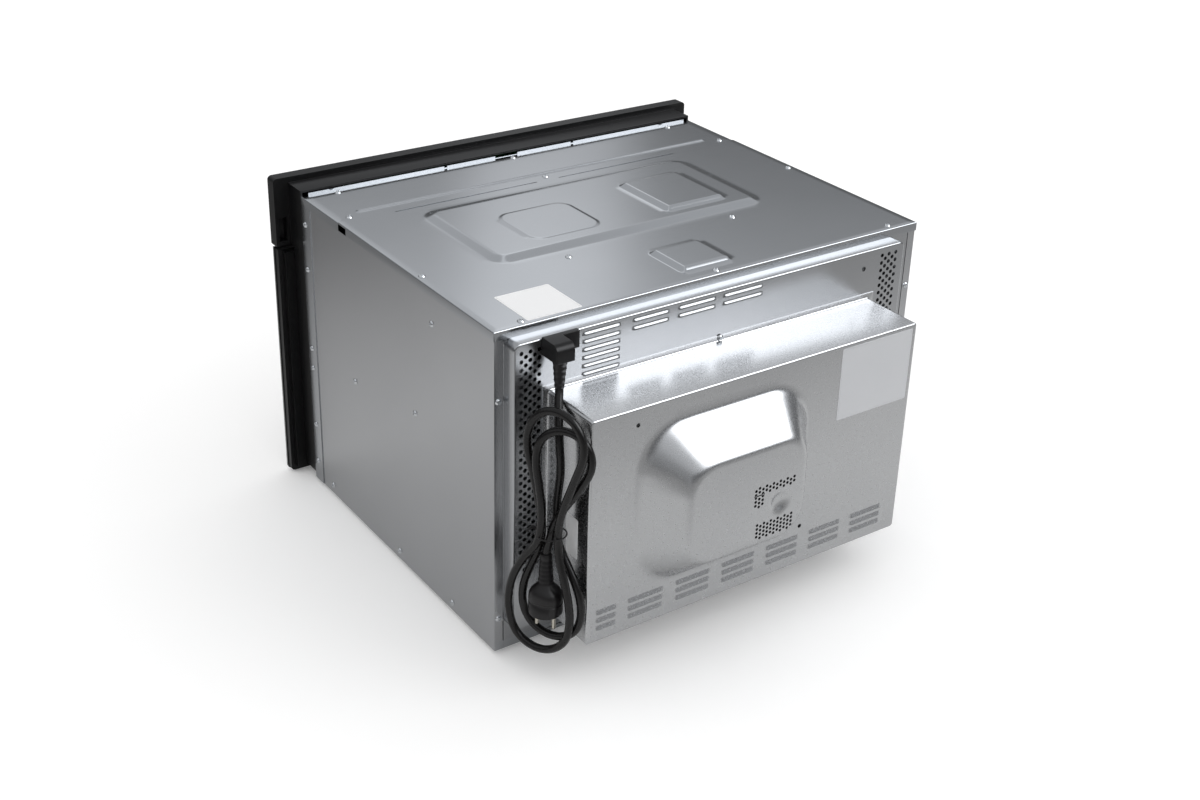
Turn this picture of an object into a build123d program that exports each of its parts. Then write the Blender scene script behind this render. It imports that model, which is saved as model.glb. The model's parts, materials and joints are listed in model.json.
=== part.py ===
from build123d import *
import math
import os

# Combination microwave oven for a kitchen niche 600 mm wide, in millimetres.
# +Z is up and the door faces -Y. The origin is the middle of the footprint, on the floor.

# Cabinet
cabinet_width = 558
cabinet_height = 372
cabinet_depth = 424
sheet = 1.0
edge_flange = 10
front_flange = 20
base_flange = 18
foot_height = 6
foot_radius = 14
foot_inset = 60

# Holes in the base for the screws into the niche's shelf
shelf_hole_x = 215
shelf_hole_front = 60
shelf_hole_pitch = 300
shelf_hole_radius = 2.5
base_slots = 7
base_slot_pitch = 68.7
base_slot_length = 28
base_slot_height = 3

# Front
front_width = 595
front_height = 388
front_drop = 4
front_corner = 5
surround_depth = 27
surround_wall = 2.5
surround_lift = 7.5
door_back_depth = 7
door_trim_depth = 9
glass_thickness = 4
door_gap = 3
seal_gap = 0.4
handle_reach = 45
handle_radius = 7
handle_half_length = 190
handle_overhang = 22
handle_post_radius = 5
handle_below_top = 33

# Door frame and choke
trim_inset = 1
back_panel_margin = 7
window_half_width = 200
window_sill = 58
window_head = 41
choke_half_width = 241
choke_sill = 24
choke_head = 14
choke_clearance = 4
choke_wall = 1.5
choke_slot = 8
choke_window_inset = 15
inner_glass_thickness = 4
screen_thickness = 0.5

# Door hinges and latches
hinge_rise = 7
pin_radius = 2.5
pin_clearance = 0.05
pin_seat = 0.01
hinge_x = 256
arm_width = 12
arm_thickness = 4
eye_radius = 4
notch_gap = 1
pin_length = 26
latch_x = 257
latch_width = 4
latch_height = 10
latch_below_top = 21
latch_reach = 14
latch_tooth = 6
latch_slot_gap = 3
latch_slot_rise = 7
switch_depth = 26
switch_wall = 5

# Control panel
control_height = 84
control_proud = 4
control_wall = 2.5
housing_rise = 5
pocket_width = 10
pocket_height = 29
pocket_depth = 10
knob_from_end = 107.5
knob_radius = 22
knob_height = 20
knob_gap = 0.4
knob_shaft_radius = 3
shaft_clearance = 0.05
encoder_size = 14
encoder_depth = 8
display_half_width = 70
display_half_height = 18
board_half_width = 210
board_half_height = 30
board_thickness = 1.6
board_setback = 19
boss_radius = 3

# Cooking cavity
cavity_width = 380
cavity_height = 210
cavity_depth = 345
cavity_rise = 52
cavity_corner = 20

# Turntable
running_gap = 0.3
wheel_radius = 8
wheel_width = 6
wheel_pin_radius = 1.5
track_radius = 124
ring_radius = 118
ring_width = 6
ring_height = 5
tray_radius = 160
tray_thickness = 5
tray_rim = 15
coupler_radius = 14
drive_shaft_radius = 4
turntable_motor_radius = 25
turntable_motor_height = 18
motor_ear_reach = 12
motor_ear_half = 6
rack_radius = 130
rack_height = 72
rack_wire = 2.5
rack_bar = 1.75
rack_bars = 7

# Heaters, fan and lamp
heater_radius = 4
terminal_radius = 3
grill_drop = 14
grill_half_width = 130
grill_bend = 30
grill_front = 50
grill_tail = 14
fan_x = 15
fan_rise = 167
fan_opening = 80
fan_cover_radius = 88
fan_slots = 16
fan_slot_width = 5
fan_housing_radius = 92
fan_housing_depth = 46
fan_housing_rim = 8
ring_heater_radius = 80
terminal_spread = 12
terminal_tail = 8
fan_cover_hub = 20
impeller_radius = 68
impeller_blades = 8
impeller_depth = 24
impeller_gap = 8
impeller_hub = 11
impeller_inner = 38
impeller_sheet = 1.5
motor_radius = 34
motor_length = 70
bracket_gap = 12
bracket_thickness = 2
bracket_radius = 60
spacer_inset = 6
spacer_radius = 4
panel_motor_hole = 42
lamp_radius = 14
lamp_y = 250
lamp_drop = 38
lamp_holder_length = 30

# Microwave source and cooling in the right-hand bay
guide_depth = 25
guide_y = 130
guide_width = 80
guide_rise = 104
guide_height = 120
feed_inset = 10
feed_low = 8
feed_high = 42
mica_height = 50
mica_thickness = 0.6
antenna_drop = 35
yoke_depth = 48
yoke_half = 36
yoke_wall = 2
yoke_fins = 5
fin_half = 30
fin_start = 9
fin_pitch = 6
anode_radius = 19
port_radius = 12
antenna_radius = 8
antenna_length = 16
filter_depth = 10
filter_half_height = 18
transformer_y = 60
transformer_gap = 14
core_width = 62
core_length = 82
core_height = 66
winding_reach = 8
winding_inset = 14
capacitor_y = 190
capacitor_gap = 46
capacitor_width = 52
capacitor_thickness = 32
capacitor_height = 80
terminal_pitch = 18
terminal_height = 8
blower_y = 320
blower_rise = 74
blower_radius = 46
blower_width = 46
blower_wheel_radius = 38
blower_gap = 10
blower_blades = 14
blade_depth = 5
blower_motor_radius = 26
inlet_radius = 26
outlet_reach = 68
pedestal_half = 24

# Rear
pan_rise = 18
pan_left = -246
pan_right = 267
pan_sill = 31
pan_head = 362
pan_corner = 14
box_depth = 77
box_left = -198
box_right = 228
box_sill = 46
box_head = 304
box_edge = 2.5
box_holes = ((173, 285), (-52, 95))
box_hole_radius = 2.4
dome_rise = 38
dome_left = -51
dome_right = 175
dome_sill = 90
dome_head = 281
dome_corner = 56
plateau_left = -15
plateau_right = 128
plateau_sill = 128
plateau_head = 234
plateau_corner = 30
dimple_x = 15
dimple_rise = 167
dimple_radius = 16
dimple_depth = 5

# Perforation and louvres
hole_radius = 2.9
hole_pitch_x = 6.9
hole_pitch_z = 11.5
hole_columns = 4
vent_right_x = 240
vent_right_rows = 22
vent_left_x = -233
vent_left_rows = 13
vent_top = 353
small_hole_radius = 1.8
small_pitch = 5.6
small_left = 48
small_right = -5
small_low = 134
small_high = 194
louvre_pitch = 8.9
louvre_height = 4.6
louvre_rise = 2.6
top_louvre = 355.5
tall_louvres = (142, 188)
low_louvres = ((82, 128), (22, 71), (-41, 12.6))
box_louvres = (80, 70.5, 61)
box_louvre_width = 47.5
box_louvre_pitch = 61
box_louvre_start = 131
corner_louvre = (190, 218)
panel_hole = (-186, 341)

# Top
seam_y = 94.5
seam_overlap = 20
lip_height = 5
lip_half_length = 270
lip_notches = (89.5, -93)
bead_y = 75
bead_half_length = 243
bead_radius = 4
press_height = 4
tab_spots = (262, 3, -261)
tab_width = 28
tab_reach = 11
lid_plateau = (-175, 195, 117, 290)
lid_high_pad = (-135, -46, 164, 265)
lid_rear_pad = (-32, 38, 340, 405)
lid_low_pad = (35, 128, 175, 260)
low_pad_height = 0.5
plateau_border = 15
pad_border = 8
grooves = ((22, 210), (-179, -9))
groove_setback = 3.5
groove_width = 1.6

# Fasteners
screw_radius = 3.6
screw_height = 2
strip_screw_y = 10
strip_screws = (-237, 0, 237)
seam_screws = [(262, 88), (3, 88), (-261, 88)]
lid_screws = [(272, 272), (-270, 212), (115, 307), (-107, 306), (243, 416), (3, 416), (-242, 416)]
fold_screw_y = 8
fold_screws = (27, 78, 155, 181, 283, 339)
side_screws = [(119, 185), (301, 331), (261, 209), (46, 11), (216, 10), (335, 9)]
rear_screws = (39.5, 295.4)
box_screw_x = 14
box_screw_rise = 3.6

# Cord
cord_radius = 4.25
clamp_left = 195
clamp_right = 236
clamp_rise = 345
clamp_height = 19
clamp_depth = 28
clamp_plate = 6
hood_reach = 11
hood_round = 8
hank_x = 256
hank_y = 490
hank_turn = 30
hank_half_thickness = 8
waist_span = (-13, 15)
waist_depth = 18
waist_high = 184
waist_low = 158
tie_rise = 170
tie_height = 4
tie_thickness = 1.5
plug_radius = 18
plug_x = -2
pin_length_out = 19
plug_pin_radius = 2.4
plug_face = 82
plug_head = 150
pin_pitch = 19

half_width = cabinet_width / 2
half_front = front_width / 2
knob_x = half_front - knob_from_end
inner_x = half_width - 2 * sheet
bottom = foot_height
top = bottom + cabinet_height
front_bottom = bottom - front_drop
front_top = front_bottom + front_height
door_top = front_top - control_height - door_gap
control_bottom = front_top - control_height
door_depth = surround_depth + door_back_depth + door_trim_depth + glass_thickness
total_depth = handle_reach + door_depth + cabinet_depth + pan_rise + box_depth + dome_rise
front = handle_reach + door_depth - total_depth / 2
back = front + cabinet_depth
pan_face = back + pan_rise
box_face = pan_face + box_depth
dome_face = box_face + dome_rise
glass_front = front - door_depth
trim_front = glass_front + glass_thickness
trim_back = trim_front + door_trim_depth
panel_back = front - surround_depth - seal_gap
choke_back = front - sheet - seal_gap
control_front = glass_front - control_proud
hinge_y = (trim_front + trim_back) / 2
hinge_z = front_bottom + hinge_rise
floor = bottom + cavity_rise
ceiling = floor + cavity_height
cavity_back = front + cavity_depth
cavity_half = cavity_width / 2
window_bottom = front_bottom + window_sill
window_top = door_top - window_head
fan_z = bottom + fan_rise
table_y = front + cavity_depth / 2
tray_bottom = floor + 2 * running_gap + 2 * wheel_radius

pieces = {}


def block(x0, x1, y0, y1, z0, z1):
    # A box given by its limits along each axis.
    centre = Pos((x0 + x1) / 2, (y0 + y1) / 2, (z0 + z1) / 2)
    return centre * Box(x1 - x0, y1 - y0, z1 - z0)


def rect(a0, a1, b0, b1, corner=0):
    # A rectangle given by its limits, with rounded corners where a radius is given.
    shape = RectangleRounded(a1 - a0, b1 - b0, corner) if corner else Rectangle(a1 - a0, b1 - b0)
    return Pos((a0 + a1) / 2, (b0 + b1) / 2) * shape


def along_x(sketch, x0, x1):
    # Draws a sketch in (y, z) out from x0 to x1.
    return extrude(Plane(origin=(x0, 0, 0), x_dir=(0, 1, 0), z_dir=(1, 0, 0)) * sketch, amount=x1 - x0)


def along_y(sketch, y0, y1):
    # Draws a sketch in (x, z) out from y0 to y1.
    return extrude(Plane(origin=(0, y1, 0), x_dir=(1, 0, 0), z_dir=(0, -1, 0)) * sketch, amount=y1 - y0)


def along_z(sketch, z0, z1):
    # Draws a sketch in (x, y) up from z0 to z1.
    return extrude(Plane(origin=(0, 0, z0)) * sketch, amount=z1 - z0)


def rod_x(radius, x0, x1, y, z):
    return along_x(Pos(y, z) * Circle(radius), x0, x1)


def rod_y(radius, y0, y1, x, z):
    return along_y(Pos(x, z) * Circle(radius), y0, y1)


def rod_z(radius, z0, z1, x, y):
    return along_z(Pos(x, y) * Circle(radius), z0, z1)


def prism_x(radius, x0, x1, y, z, sides=8):
    return along_x(Pos(y, z) * RegularPolygon(radius, sides), x0, x1)


def prism_y(radius, y0, y1, x, z, sides=8):
    return along_y(Pos(x, z) * RegularPolygon(radius, sides), y0, y1)


def both_sides(shape):
    # A shape and its mirror image across the middle plane.
    return shape + mirror(shape, about=Plane.YZ)


def pierced(outline, holes):
    # One flat face with an outline and many holes.
    return Face(outline.face().outer_wire(), [hole.face().outer_wire() for hole in holes])


def pressed_up(solid):
    # The top skin, one sheet thick, of a solid that stands for the pressing's upper side.
    return solid - Pos(0, 0, -sheet) * solid


def base_plate():
    # Folded floor with low side flanges and a slotted flange along the rear edge.
    holes = [
        Pos(x, front + shelf_hole_front + step * shelf_hole_pitch) * Circle(shelf_hole_radius)
        for x in (-shelf_hole_x, shelf_hole_x)
        for step in (0, 1)
    ]
    plate = along_z(pierced(rect(-inner_x, inner_x, front, back), holes), bottom, bottom + sheet)
    side = block(inner_x - sheet, inner_x, front, back - 2 * sheet, bottom, bottom + base_flange)
    slots = [
        Pos(base_slot_pitch * (step - (base_slots - 1) / 2), bottom + edge_flange / 2)
        * Rectangle(base_slot_length, base_slot_height)
        for step in range(base_slots)
    ]
    rear_edge = pierced(rect(-inner_x, inner_x, bottom, bottom + edge_flange), slots)
    return plate + both_sides(side) + along_y(rear_edge, back - sheet, back)


def side_panel():
    # Right-hand side sheet with its rear edge folded inwards.
    outer_x = inner_x + sheet
    wall = block(inner_x, outer_x, front, back, bottom, top - 2 * sheet)
    fold = block(outer_x - edge_flange, outer_x, back - sheet, back, bottom + edge_flange, top - 2 * sheet)
    return wall + fold


def latch_slot(margin):
    # Upright slot, as (x, z), that the latch hook swings through.
    low = door_top - latch_below_top - latch_height - latch_tooth
    high = door_top - latch_below_top + latch_slot_rise
    half = latch_width / 2 + latch_slot_gap + margin
    return rect(latch_x - half, latch_x + half, low - latch_slot_gap - margin, high + margin)


def front_plate():
    # Steel front wall round the cavity mouth, its side edges returned over the side panels.
    outline = rect(-half_width, half_width, bottom, top - sheet)
    mouth = rect(-cavity_half, cavity_half, floor, ceiling, 6)
    slot = latch_slot(0)
    wall = along_y(pierced(outline, [mouth, slot, mirror(slot, about=Plane.YZ)]), front - sheet, front)
    flange_top = top - sheet - edge_flange
    fold = block(half_width - sheet, half_width, front, front + front_flange, bottom, flange_top)
    return wall + both_sides(fold)


def front_surround():
    # Black moulding that fills the space between the door and the steel front wall.
    low = bottom + surround_lift
    outer = rect(-half_width, half_width, low, control_bottom)
    gap = choke_clearance
    choke_top = door_top - choke_head
    choke_bottom = front_bottom + choke_sill
    mouth = rect(-choke_half_width - gap, choke_half_width + gap, choke_bottom - gap, choke_top + gap, 5)
    ring = along_y(outer - mouth, front - surround_depth, front - sheet)
    wall = surround_wall
    hollow_outer = rect(-half_width + wall, half_width - wall, low + wall, control_bottom - wall)
    hollow_inner = rect(
        -choke_half_width - gap - wall,
        choke_half_width + gap + wall,
        choke_bottom - gap - wall,
        choke_top + gap + wall,
        5 + wall,
    )
    hollow = along_y(hollow_outer - hollow_inner, front - surround_depth + wall, front - sheet)
    slot = along_y(latch_slot(1), front - surround_depth - 1, front)
    return ring - hollow - both_sides(slot)


def hinge_brackets():
    # Forged arms on the steel front wall, each with an eye for the door's hinge pin.
    arm_back = front - sheet
    half = arm_width / 2
    half_t = arm_thickness / 2
    arm = block(hinge_x - half, hinge_x + half, hinge_y, arm_back, hinge_z - half_t, hinge_z + half_t)
    eye = rod_x(eye_radius, hinge_x - half, hinge_x + half, hinge_y, hinge_z)
    foot_top = bottom + surround_lift - 1
    foot = block(hinge_x - arm_width, hinge_x + arm_width, arm_back - 3, arm_back, bottom, foot_top)
    bore = rod_x(pin_radius + pin_seat, hinge_x - arm_width, hinge_x + arm_width, hinge_y, hinge_z)
    return both_sides(arm + eye + foot - bore)


def hinge_pins():
    pin = rod_x(pin_radius, hinge_x - pin_length / 2, hinge_x + pin_length / 2, hinge_y, hinge_z)
    return both_sides(pin)


def hinge_notch():
    # Room for the arm: open to the rear and downwards, so the door can drop by a quarter turn.
    half = arm_width / 2 + notch_gap
    room = block(
        hinge_x - half, hinge_x + half, trim_front, panel_back, front_bottom, hinge_z + eye_radius + notch_gap
    )
    bore_half = pin_length / 2 + running_gap
    bore = rod_x(pin_radius + pin_clearance, hinge_x - bore_half, hinge_x + bore_half, hinge_y, hinge_z)
    return both_sides(room + bore)


def door_outline(inset):
    # The door seen from the front, its lower corners well rounded.
    shape = rect(-half_front + inset, half_front - inset, front_bottom + inset, door_top - inset)
    lower = shape.vertices().group_by(Axis.Y)[0]
    return fillet(lower, front_corner)


def door_window():
    return rect(-window_half_width, window_half_width, window_bottom, window_top, 8)


def door_glass():
    pane = along_y(door_outline(0), glass_front, trim_front)
    return chamfer(pane.faces().sort_by(Axis.Y)[0].edges(), 0.8)


def door_frame():
    # Moulded frame bonded to the back of the outer pane; it carries the hinge bores.
    ring = along_y(door_outline(trim_inset) - door_window(), trim_front, trim_back)
    return ring - hinge_notch()


def door_choke():
    # Back panel and the hollow choke ring, with its slot, that closes into the surround.
    edge = back_panel_margin
    panel_outline = rect(-half_front + edge, half_front - edge, front_bottom + edge, door_top - 3)
    step = choke_window_inset
    opening = rect(
        -window_half_width + step, window_half_width - step, window_bottom + step, window_top - step, 8
    )
    choke_bottom = front_bottom + choke_sill
    choke_top = door_top - choke_head
    outer = rect(-choke_half_width, choke_half_width, choke_bottom, choke_top, 5)
    wall = choke_wall
    channel_outer = rect(
        -choke_half_width + wall, choke_half_width - wall, choke_bottom + wall, choke_top - wall, 4
    )
    channel_inner = rect(
        -window_half_width + step - wall,
        window_half_width - step + wall,
        window_bottom + step - wall,
        window_top - step + wall,
        8 + wall,
    )
    slot_inner = rect(
        -choke_half_width + wall + choke_slot,
        choke_half_width - wall - choke_slot,
        choke_bottom + wall + choke_slot,
        choke_top - wall - choke_slot,
        3,
    )
    panel = along_y(panel_outline - opening, trim_back, panel_back)
    ring = along_y(outer - opening, panel_back, choke_back)
    channel = along_y(channel_outer - channel_inner, panel_back, choke_back - wall)
    slot = along_y(channel_outer - slot_inner, choke_back - wall, choke_back)
    return panel + ring - channel - slot - hinge_notch()


def window_screen():
    # Perforated shield that lies against the back panel, inside the frame's window.
    gap = running_gap
    sheet_outline = rect(
        -window_half_width + gap, window_half_width - gap, window_bottom + gap, window_top - gap, 8
    )
    return along_y(sheet_outline, trim_back - screen_thickness, trim_back)


def inner_glass():
    step = choke_window_inset + running_gap
    pane = rect(
        -window_half_width + step, window_half_width - step, window_bottom + step, window_top - step, 7
    )
    return along_y(pane, choke_back - inner_glass_thickness, choke_back)


def door_handle():
    # Round bar with chamfered ends on two posts.
    z = door_top - handle_below_top
    bar_y = glass_front - handle_reach + handle_radius
    end = handle_half_length + handle_overhang
    bar = rod_x(handle_radius, -end, end, bar_y, z)
    bar = chamfer(bar.edges().filter_by(GeomType.CIRCLE), 1)
    post = rod_y(handle_post_radius, bar_y, glass_front, handle_half_length, z)
    return bar + both_sides(post)


def latch_hooks():
    # Flat hooks on the back panel that reach through the front wall to the switches.
    high = door_top - latch_below_top
    low = high - latch_height
    tip = front + latch_reach
    profile = Polyline(
        (panel_back, low),
        (tip - latch_tooth, low),
        (tip - latch_tooth, low - latch_tooth),
        (tip, low - latch_tooth + 2),
        (tip, high - 3),
        (tip - 3, high),
        (panel_back, high),
        close=True,
    )
    hook = along_x(make_face(profile), latch_x - latch_width / 2, latch_x + latch_width / 2)
    return both_sides(hook)


def interlock_switches():
    # Switch carriers behind the front wall, hollow where the hooks come in.
    slot = latch_slot(0)
    box = slot.bounding_box()
    low_x = box.min.X - switch_wall
    high_x = box.max.X + switch_wall
    low_z = box.min.Y - switch_wall
    high_z = box.max.Y + switch_wall
    body = block(low_x, high_x, front, front + switch_depth, low_z, high_z)
    room = along_y(slot, front, front + switch_depth - switch_wall)
    return both_sides(body - room)


def control_panel():
    # Moulded fascia with a housing behind it that is open to the steel front wall.
    wall = control_wall
    body = block(-half_front, half_front, control_front, trim_back, control_bottom, front_top)
    upper = body.edges().filter_by(Axis.Y).group_by(Axis.Z)[-1]
    body = fillet(upper, front_corner)
    body = chamfer(body.faces().sort_by(Axis.Y)[0].edges().group_by(Axis.Z)[-1], 1.2)
    housing_top = top + housing_rise
    housing = block(-half_width, half_width, trim_back, front - sheet, control_bottom, housing_top)
    room = block(
        -half_width + wall,
        half_width - wall,
        control_front + wall,
        front,
        control_bottom + wall,
        housing_top - wall,
    )
    pocket_x = (half_width + half_front) / 2
    pocket = block(
        pocket_x - pocket_width / 2,
        pocket_x + pocket_width / 2,
        trim_back - pocket_depth,
        trim_back,
        control_bottom + 6,
        control_bottom + 6 + pocket_height,
    )
    panel = body + housing - room - both_sides(pocket)
    middle = control_bottom + control_height / 2
    panel -= both_sides(rod_y(knob_shaft_radius + shaft_clearance, control_front, front, knob_x, middle))
    window = rect(
        -display_half_width,
        display_half_width,
        middle - display_half_height,
        middle + display_half_height,
        3,
    )
    panel -= along_y(window, control_front, control_front + wall)
    for z in (middle - board_half_height + 6, middle + board_half_height - 6):
        boss = prism_y(boss_radius, control_front + wall, control_front + board_setback, board_half_width - 5, z, 6)
        panel += both_sides(boss)
    return panel


def display_window():
    middle = control_bottom + control_height / 2
    lens = rect(
        -display_half_width - 4,
        display_half_width + 4,
        middle - display_half_height - 4,
        middle + display_half_height + 4,
        4,
    )
    lens_front = control_front + control_wall
    return along_y(lens, lens_front, lens_front + 2)


def control_board():
    # Circuit board on the fascia's bosses, with the display block in front of it.
    middle = control_bottom + control_height / 2
    board_front = control_front + board_setback
    board = block(
        -board_half_width,
        board_half_width,
        board_front,
        board_front + board_thickness,
        middle - board_half_height,
        middle + board_half_height,
    )
    display = block(
        -display_half_width + 3,
        display_half_width - 3,
        control_front + control_wall + 2,
        board_front,
        middle - display_half_height + 2,
        middle + display_half_height - 2,
    )
    return board + display


def encoders():
    # Rotary encoders on the board, one behind each knob.
    middle = control_bottom + control_height / 2
    board_front = control_front + board_setback
    half = encoder_size / 2
    body = block(
        knob_x - half, knob_x + half, board_front - encoder_depth, board_front, middle - half, middle + half
    )
    bore = rod_y(
        knob_shaft_radius + shaft_clearance, board_front - encoder_depth, board_front - 2, knob_x, middle
    )
    return both_sides(body - bore)


def knob(x):
    # Turned knob with a skirt, a rounded face, a pointer groove and its shaft.
    middle = control_bottom + control_height / 2
    base_y = control_front - knob_gap
    face_y = control_front - knob_height
    skirt = rod_y(knob_radius, base_y - 4, base_y, x, middle)
    grip = rod_y(knob_radius - 3, face_y, base_y - 4, x, middle)
    grip = chamfer(grip.faces().sort_by(Axis.Y)[0].edges(), 1.5)
    pointer = block(x - 0.8, x + 0.8, face_y - 1, face_y + 0.8, middle + 6, middle + knob_radius)
    shaft_end = control_front + board_setback - 2.6
    shaft = rod_y(knob_shaft_radius, base_y, shaft_end, x, middle)
    return skirt + grip + shaft - pointer


def cavity_liner():
    # Drawn cavity with rounded rear corners, one sheet thick and open to the front.
    def shell(grow):
        body = block(
            -cavity_half - grow, cavity_half + grow, front, cavity_back + grow, floor - grow, ceiling + grow
        )
        return fillet(body.edges().filter_by(Axis.Z).group_by(Axis.Y)[-1], cavity_corner + grow)

    liner = shell(sheet) - shell(0)
    liner -= rod_y(fan_opening, cavity_back - 5, cavity_back + 5, fan_x, fan_z)
    heater_z = ceiling - grill_drop
    hole = rod_y(heater_radius + pin_clearance, cavity_back - 5, cavity_back + 5, grill_half_width, heater_z)
    liner -= both_sides(hole)
    liner -= rod_z(drive_shaft_radius + pin_clearance, floor - 2, floor + 1, 0, table_y)
    guide_low = bottom + guide_rise
    liner -= block(
        cavity_half - 1,
        cavity_half + 2,
        front + guide_y + feed_inset,
        front + guide_y + guide_width - feed_inset,
        guide_low + feed_low,
        guide_low + feed_high,
    )
    liner -= rod_x(lamp_radius, -cavity_half - 2, -cavity_half + 1, front + lamp_y, ceiling - lamp_drop)
    return liner


def waveguide():
    # Folded duct on the cavity wall between the magnetron and the feed slot.
    x0 = cavity_half + sheet
    x1 = x0 + guide_depth
    y0 = front + guide_y
    y1 = y0 + guide_width
    z0 = bottom + guide_rise
    z1 = z0 + guide_height
    duct = block(x0, x1, y0, y1, z0, z1) - block(
        x0, x1 - sheet, y0 + sheet, y1 - sheet, z0 + sheet, z1 - sheet
    )
    port = rod_x(port_radius, x1 - 2, x1 + 1, (y0 + y1) / 2, z1 - antenna_drop)
    return duct - port


def magnetron():
    # Tube with square cooling fins inside a folded yoke, its antenna in the waveguide.
    x0 = cavity_half + sheet + guide_depth
    x1 = x0 + yoke_depth
    y = front + guide_y + guide_width / 2
    z = bottom + guide_rise + guide_height - antenna_drop
    wall = yoke_wall
    yoke = block(x0, x1, y - yoke_half, y + yoke_half, z - fin_half - wall, z + fin_half + wall)
    yoke -= block(x0 + wall, x1 - wall, y - yoke_half, y + yoke_half, z - fin_half, z + fin_half)
    tube = prism_x(anode_radius, x0 + wall, x1 - wall, y, z)
    tube += rod_x(antenna_radius, x0 - antenna_length, x0 + wall, y, z)
    fins = []
    for step in range(yoke_fins):
        fin_x = x0 + fin_start + fin_pitch * step
        fins.append(block(fin_x, fin_x + 1, y - yoke_half + 2, y + yoke_half - 2, z - fin_half, z + fin_half))
    filter_box = block(
        x1, x1 + filter_depth, y - yoke_half / 2, y + yoke_half / 2, z - filter_half_height, z + filter_half_height
    )
    return yoke + tube + fins + filter_box


def waveguide_cover():
    # Mica sheet over the feed slot, on the cavity's inner wall.
    y0 = front + guide_y
    z0 = bottom + guide_rise
    return block(cavity_half - mica_thickness, cavity_half, y0, y0 + guide_width, z0, z0 + mica_height)


def grill_heater():
    # Bent tube under the ceiling, both ends through the cavity's rear wall.
    z = ceiling - grill_drop
    path = FilletPolyline(
        (-grill_half_width, cavity_back + grill_tail, z),
        (-grill_half_width, front + grill_front, z),
        (grill_half_width, front + grill_front, z),
        (grill_half_width, cavity_back + grill_tail, z),
        radius=grill_bend,
    )
    start = Plane(origin=path @ 0, z_dir=path % 0)
    return sweep(start * RegularPolygon(heater_radius, 6), path=path)


def fan_cover():
    # Round cover with radial slots over the fan's opening in the rear wall.
    hub = fan_cover_hub
    slot = Pos((hub + fan_opening) / 2, 0) * Rectangle(fan_opening - hub - 6, fan_slot_width)
    centre = Pos(fan_x, fan_z)
    slots = [centre * Rot(0, 0, 360 / fan_slots * step) * slot for step in range(fan_slots)]
    return along_y(pierced(centre * Circle(fan_cover_radius), slots), cavity_back - sheet, cavity_back)


def fan_housing():
    # Round pan behind the cavity with its rim against the rear wall.
    y0 = cavity_back + sheet
    y1 = y0 + fan_housing_depth
    pan = rod_y(fan_housing_radius + sheet, y0, y1, fan_x, fan_z)
    rim = rod_y(fan_housing_radius + fan_housing_rim, y0, y0 + sheet, fan_x, fan_z)
    pan = pan + rim - rod_y(fan_housing_radius, y0, y1 - sheet, fan_x, fan_z)
    for x in heater_ends():
        pan -= prism_y(terminal_radius + sheet, y1 - 3, y1 + 1, x, heater_end_z())
    return pan - prism_y(drive_shaft_radius + 3, y1 - 3, y1 + 1, fan_x, fan_z)


def heater_ends():
    # The x of the ring heater's two terminals, side by side below the fan.
    return fan_x - terminal_spread, fan_x + terminal_spread


def heater_end_z():
    return fan_z - math.sqrt(ring_heater_radius**2 - terminal_spread**2)


def ring_heater():
    y = cavity_back + sheet + fan_housing_depth / 2
    section = Pos(fan_x + ring_heater_radius, y) * RegularPolygon(heater_radius, 6)
    ring = revolve(Plane(origin=(0, 0, fan_z)) * section, axis=Axis((fan_x, 0, fan_z), (0, 1, 0)))
    for x in heater_ends():
        ring += rod_y(terminal_radius, y, y + fan_housing_depth / 2 + terminal_tail, x, heater_end_z())
    return ring


def convection_fan():
    # Backplate with straight radial blades, a hub and the shaft into the motor.
    y1 = cavity_back + sheet + fan_housing_depth - impeller_gap
    y0 = y1 - impeller_depth
    half = impeller_sheet / 2
    plate = rod_y(impeller_radius, y1 - impeller_sheet, y1, fan_x, fan_z)
    blade = block(impeller_inner, impeller_radius - 1, y0, y1 - impeller_sheet, -half, half)
    wheel = plate + rod_y(impeller_hub, y0, y1, fan_x, fan_z)
    for step in range(impeller_blades):
        wheel += Pos(fan_x, 0, fan_z) * Rot(0, 360 / impeller_blades * step, 0) * blade
    shaft_end = motor_front() + 14
    return wheel + rod_y(drive_shaft_radius, y1, shaft_end, fan_x, fan_z)


def motor_front():
    return cavity_back + sheet + fan_housing_depth + bracket_gap + bracket_thickness


def motor_bracket():
    # Round plate on three spacers behind the fan housing.
    y1 = motor_front()
    y0 = y1 - bracket_thickness
    plate = rod_y(bracket_radius, y0, y1, fan_x, fan_z)
    for angle in (30, 150, 270):
        x = fan_x + (bracket_radius - spacer_inset) * math.cos(math.radians(angle))
        z = fan_z + (bracket_radius - spacer_inset) * math.sin(math.radians(angle))
        plate += prism_y(spacer_radius, y0 - bracket_gap, y0, x, z, 6)
    return plate - prism_y(drive_shaft_radius + 4, y0 - 1, y1 + 1, fan_x, fan_z)


def convection_motor():
    y0 = motor_front()
    can = rod_y(motor_radius, y0, y0 + motor_length, fan_x, fan_z)
    can = chamfer(can.faces().sort_by(Axis.Y)[-1].edges(), 4)
    return can - rod_y(drive_shaft_radius + shaft_clearance, y0, y0 + 15, fan_x, fan_z)


def oven_lamp():
    # Lamp holder outside the cavity's left wall and the lens in the wall's hole.
    y = front + lamp_y
    z = ceiling - lamp_drop
    x1 = -cavity_half - sheet
    holder = rod_x(lamp_radius + 4, x1 - lamp_holder_length, x1, y, z)
    lens = rod_x(lamp_radius - pin_clearance, x1, -cavity_half + 1, y, z)
    return holder + lens


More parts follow.
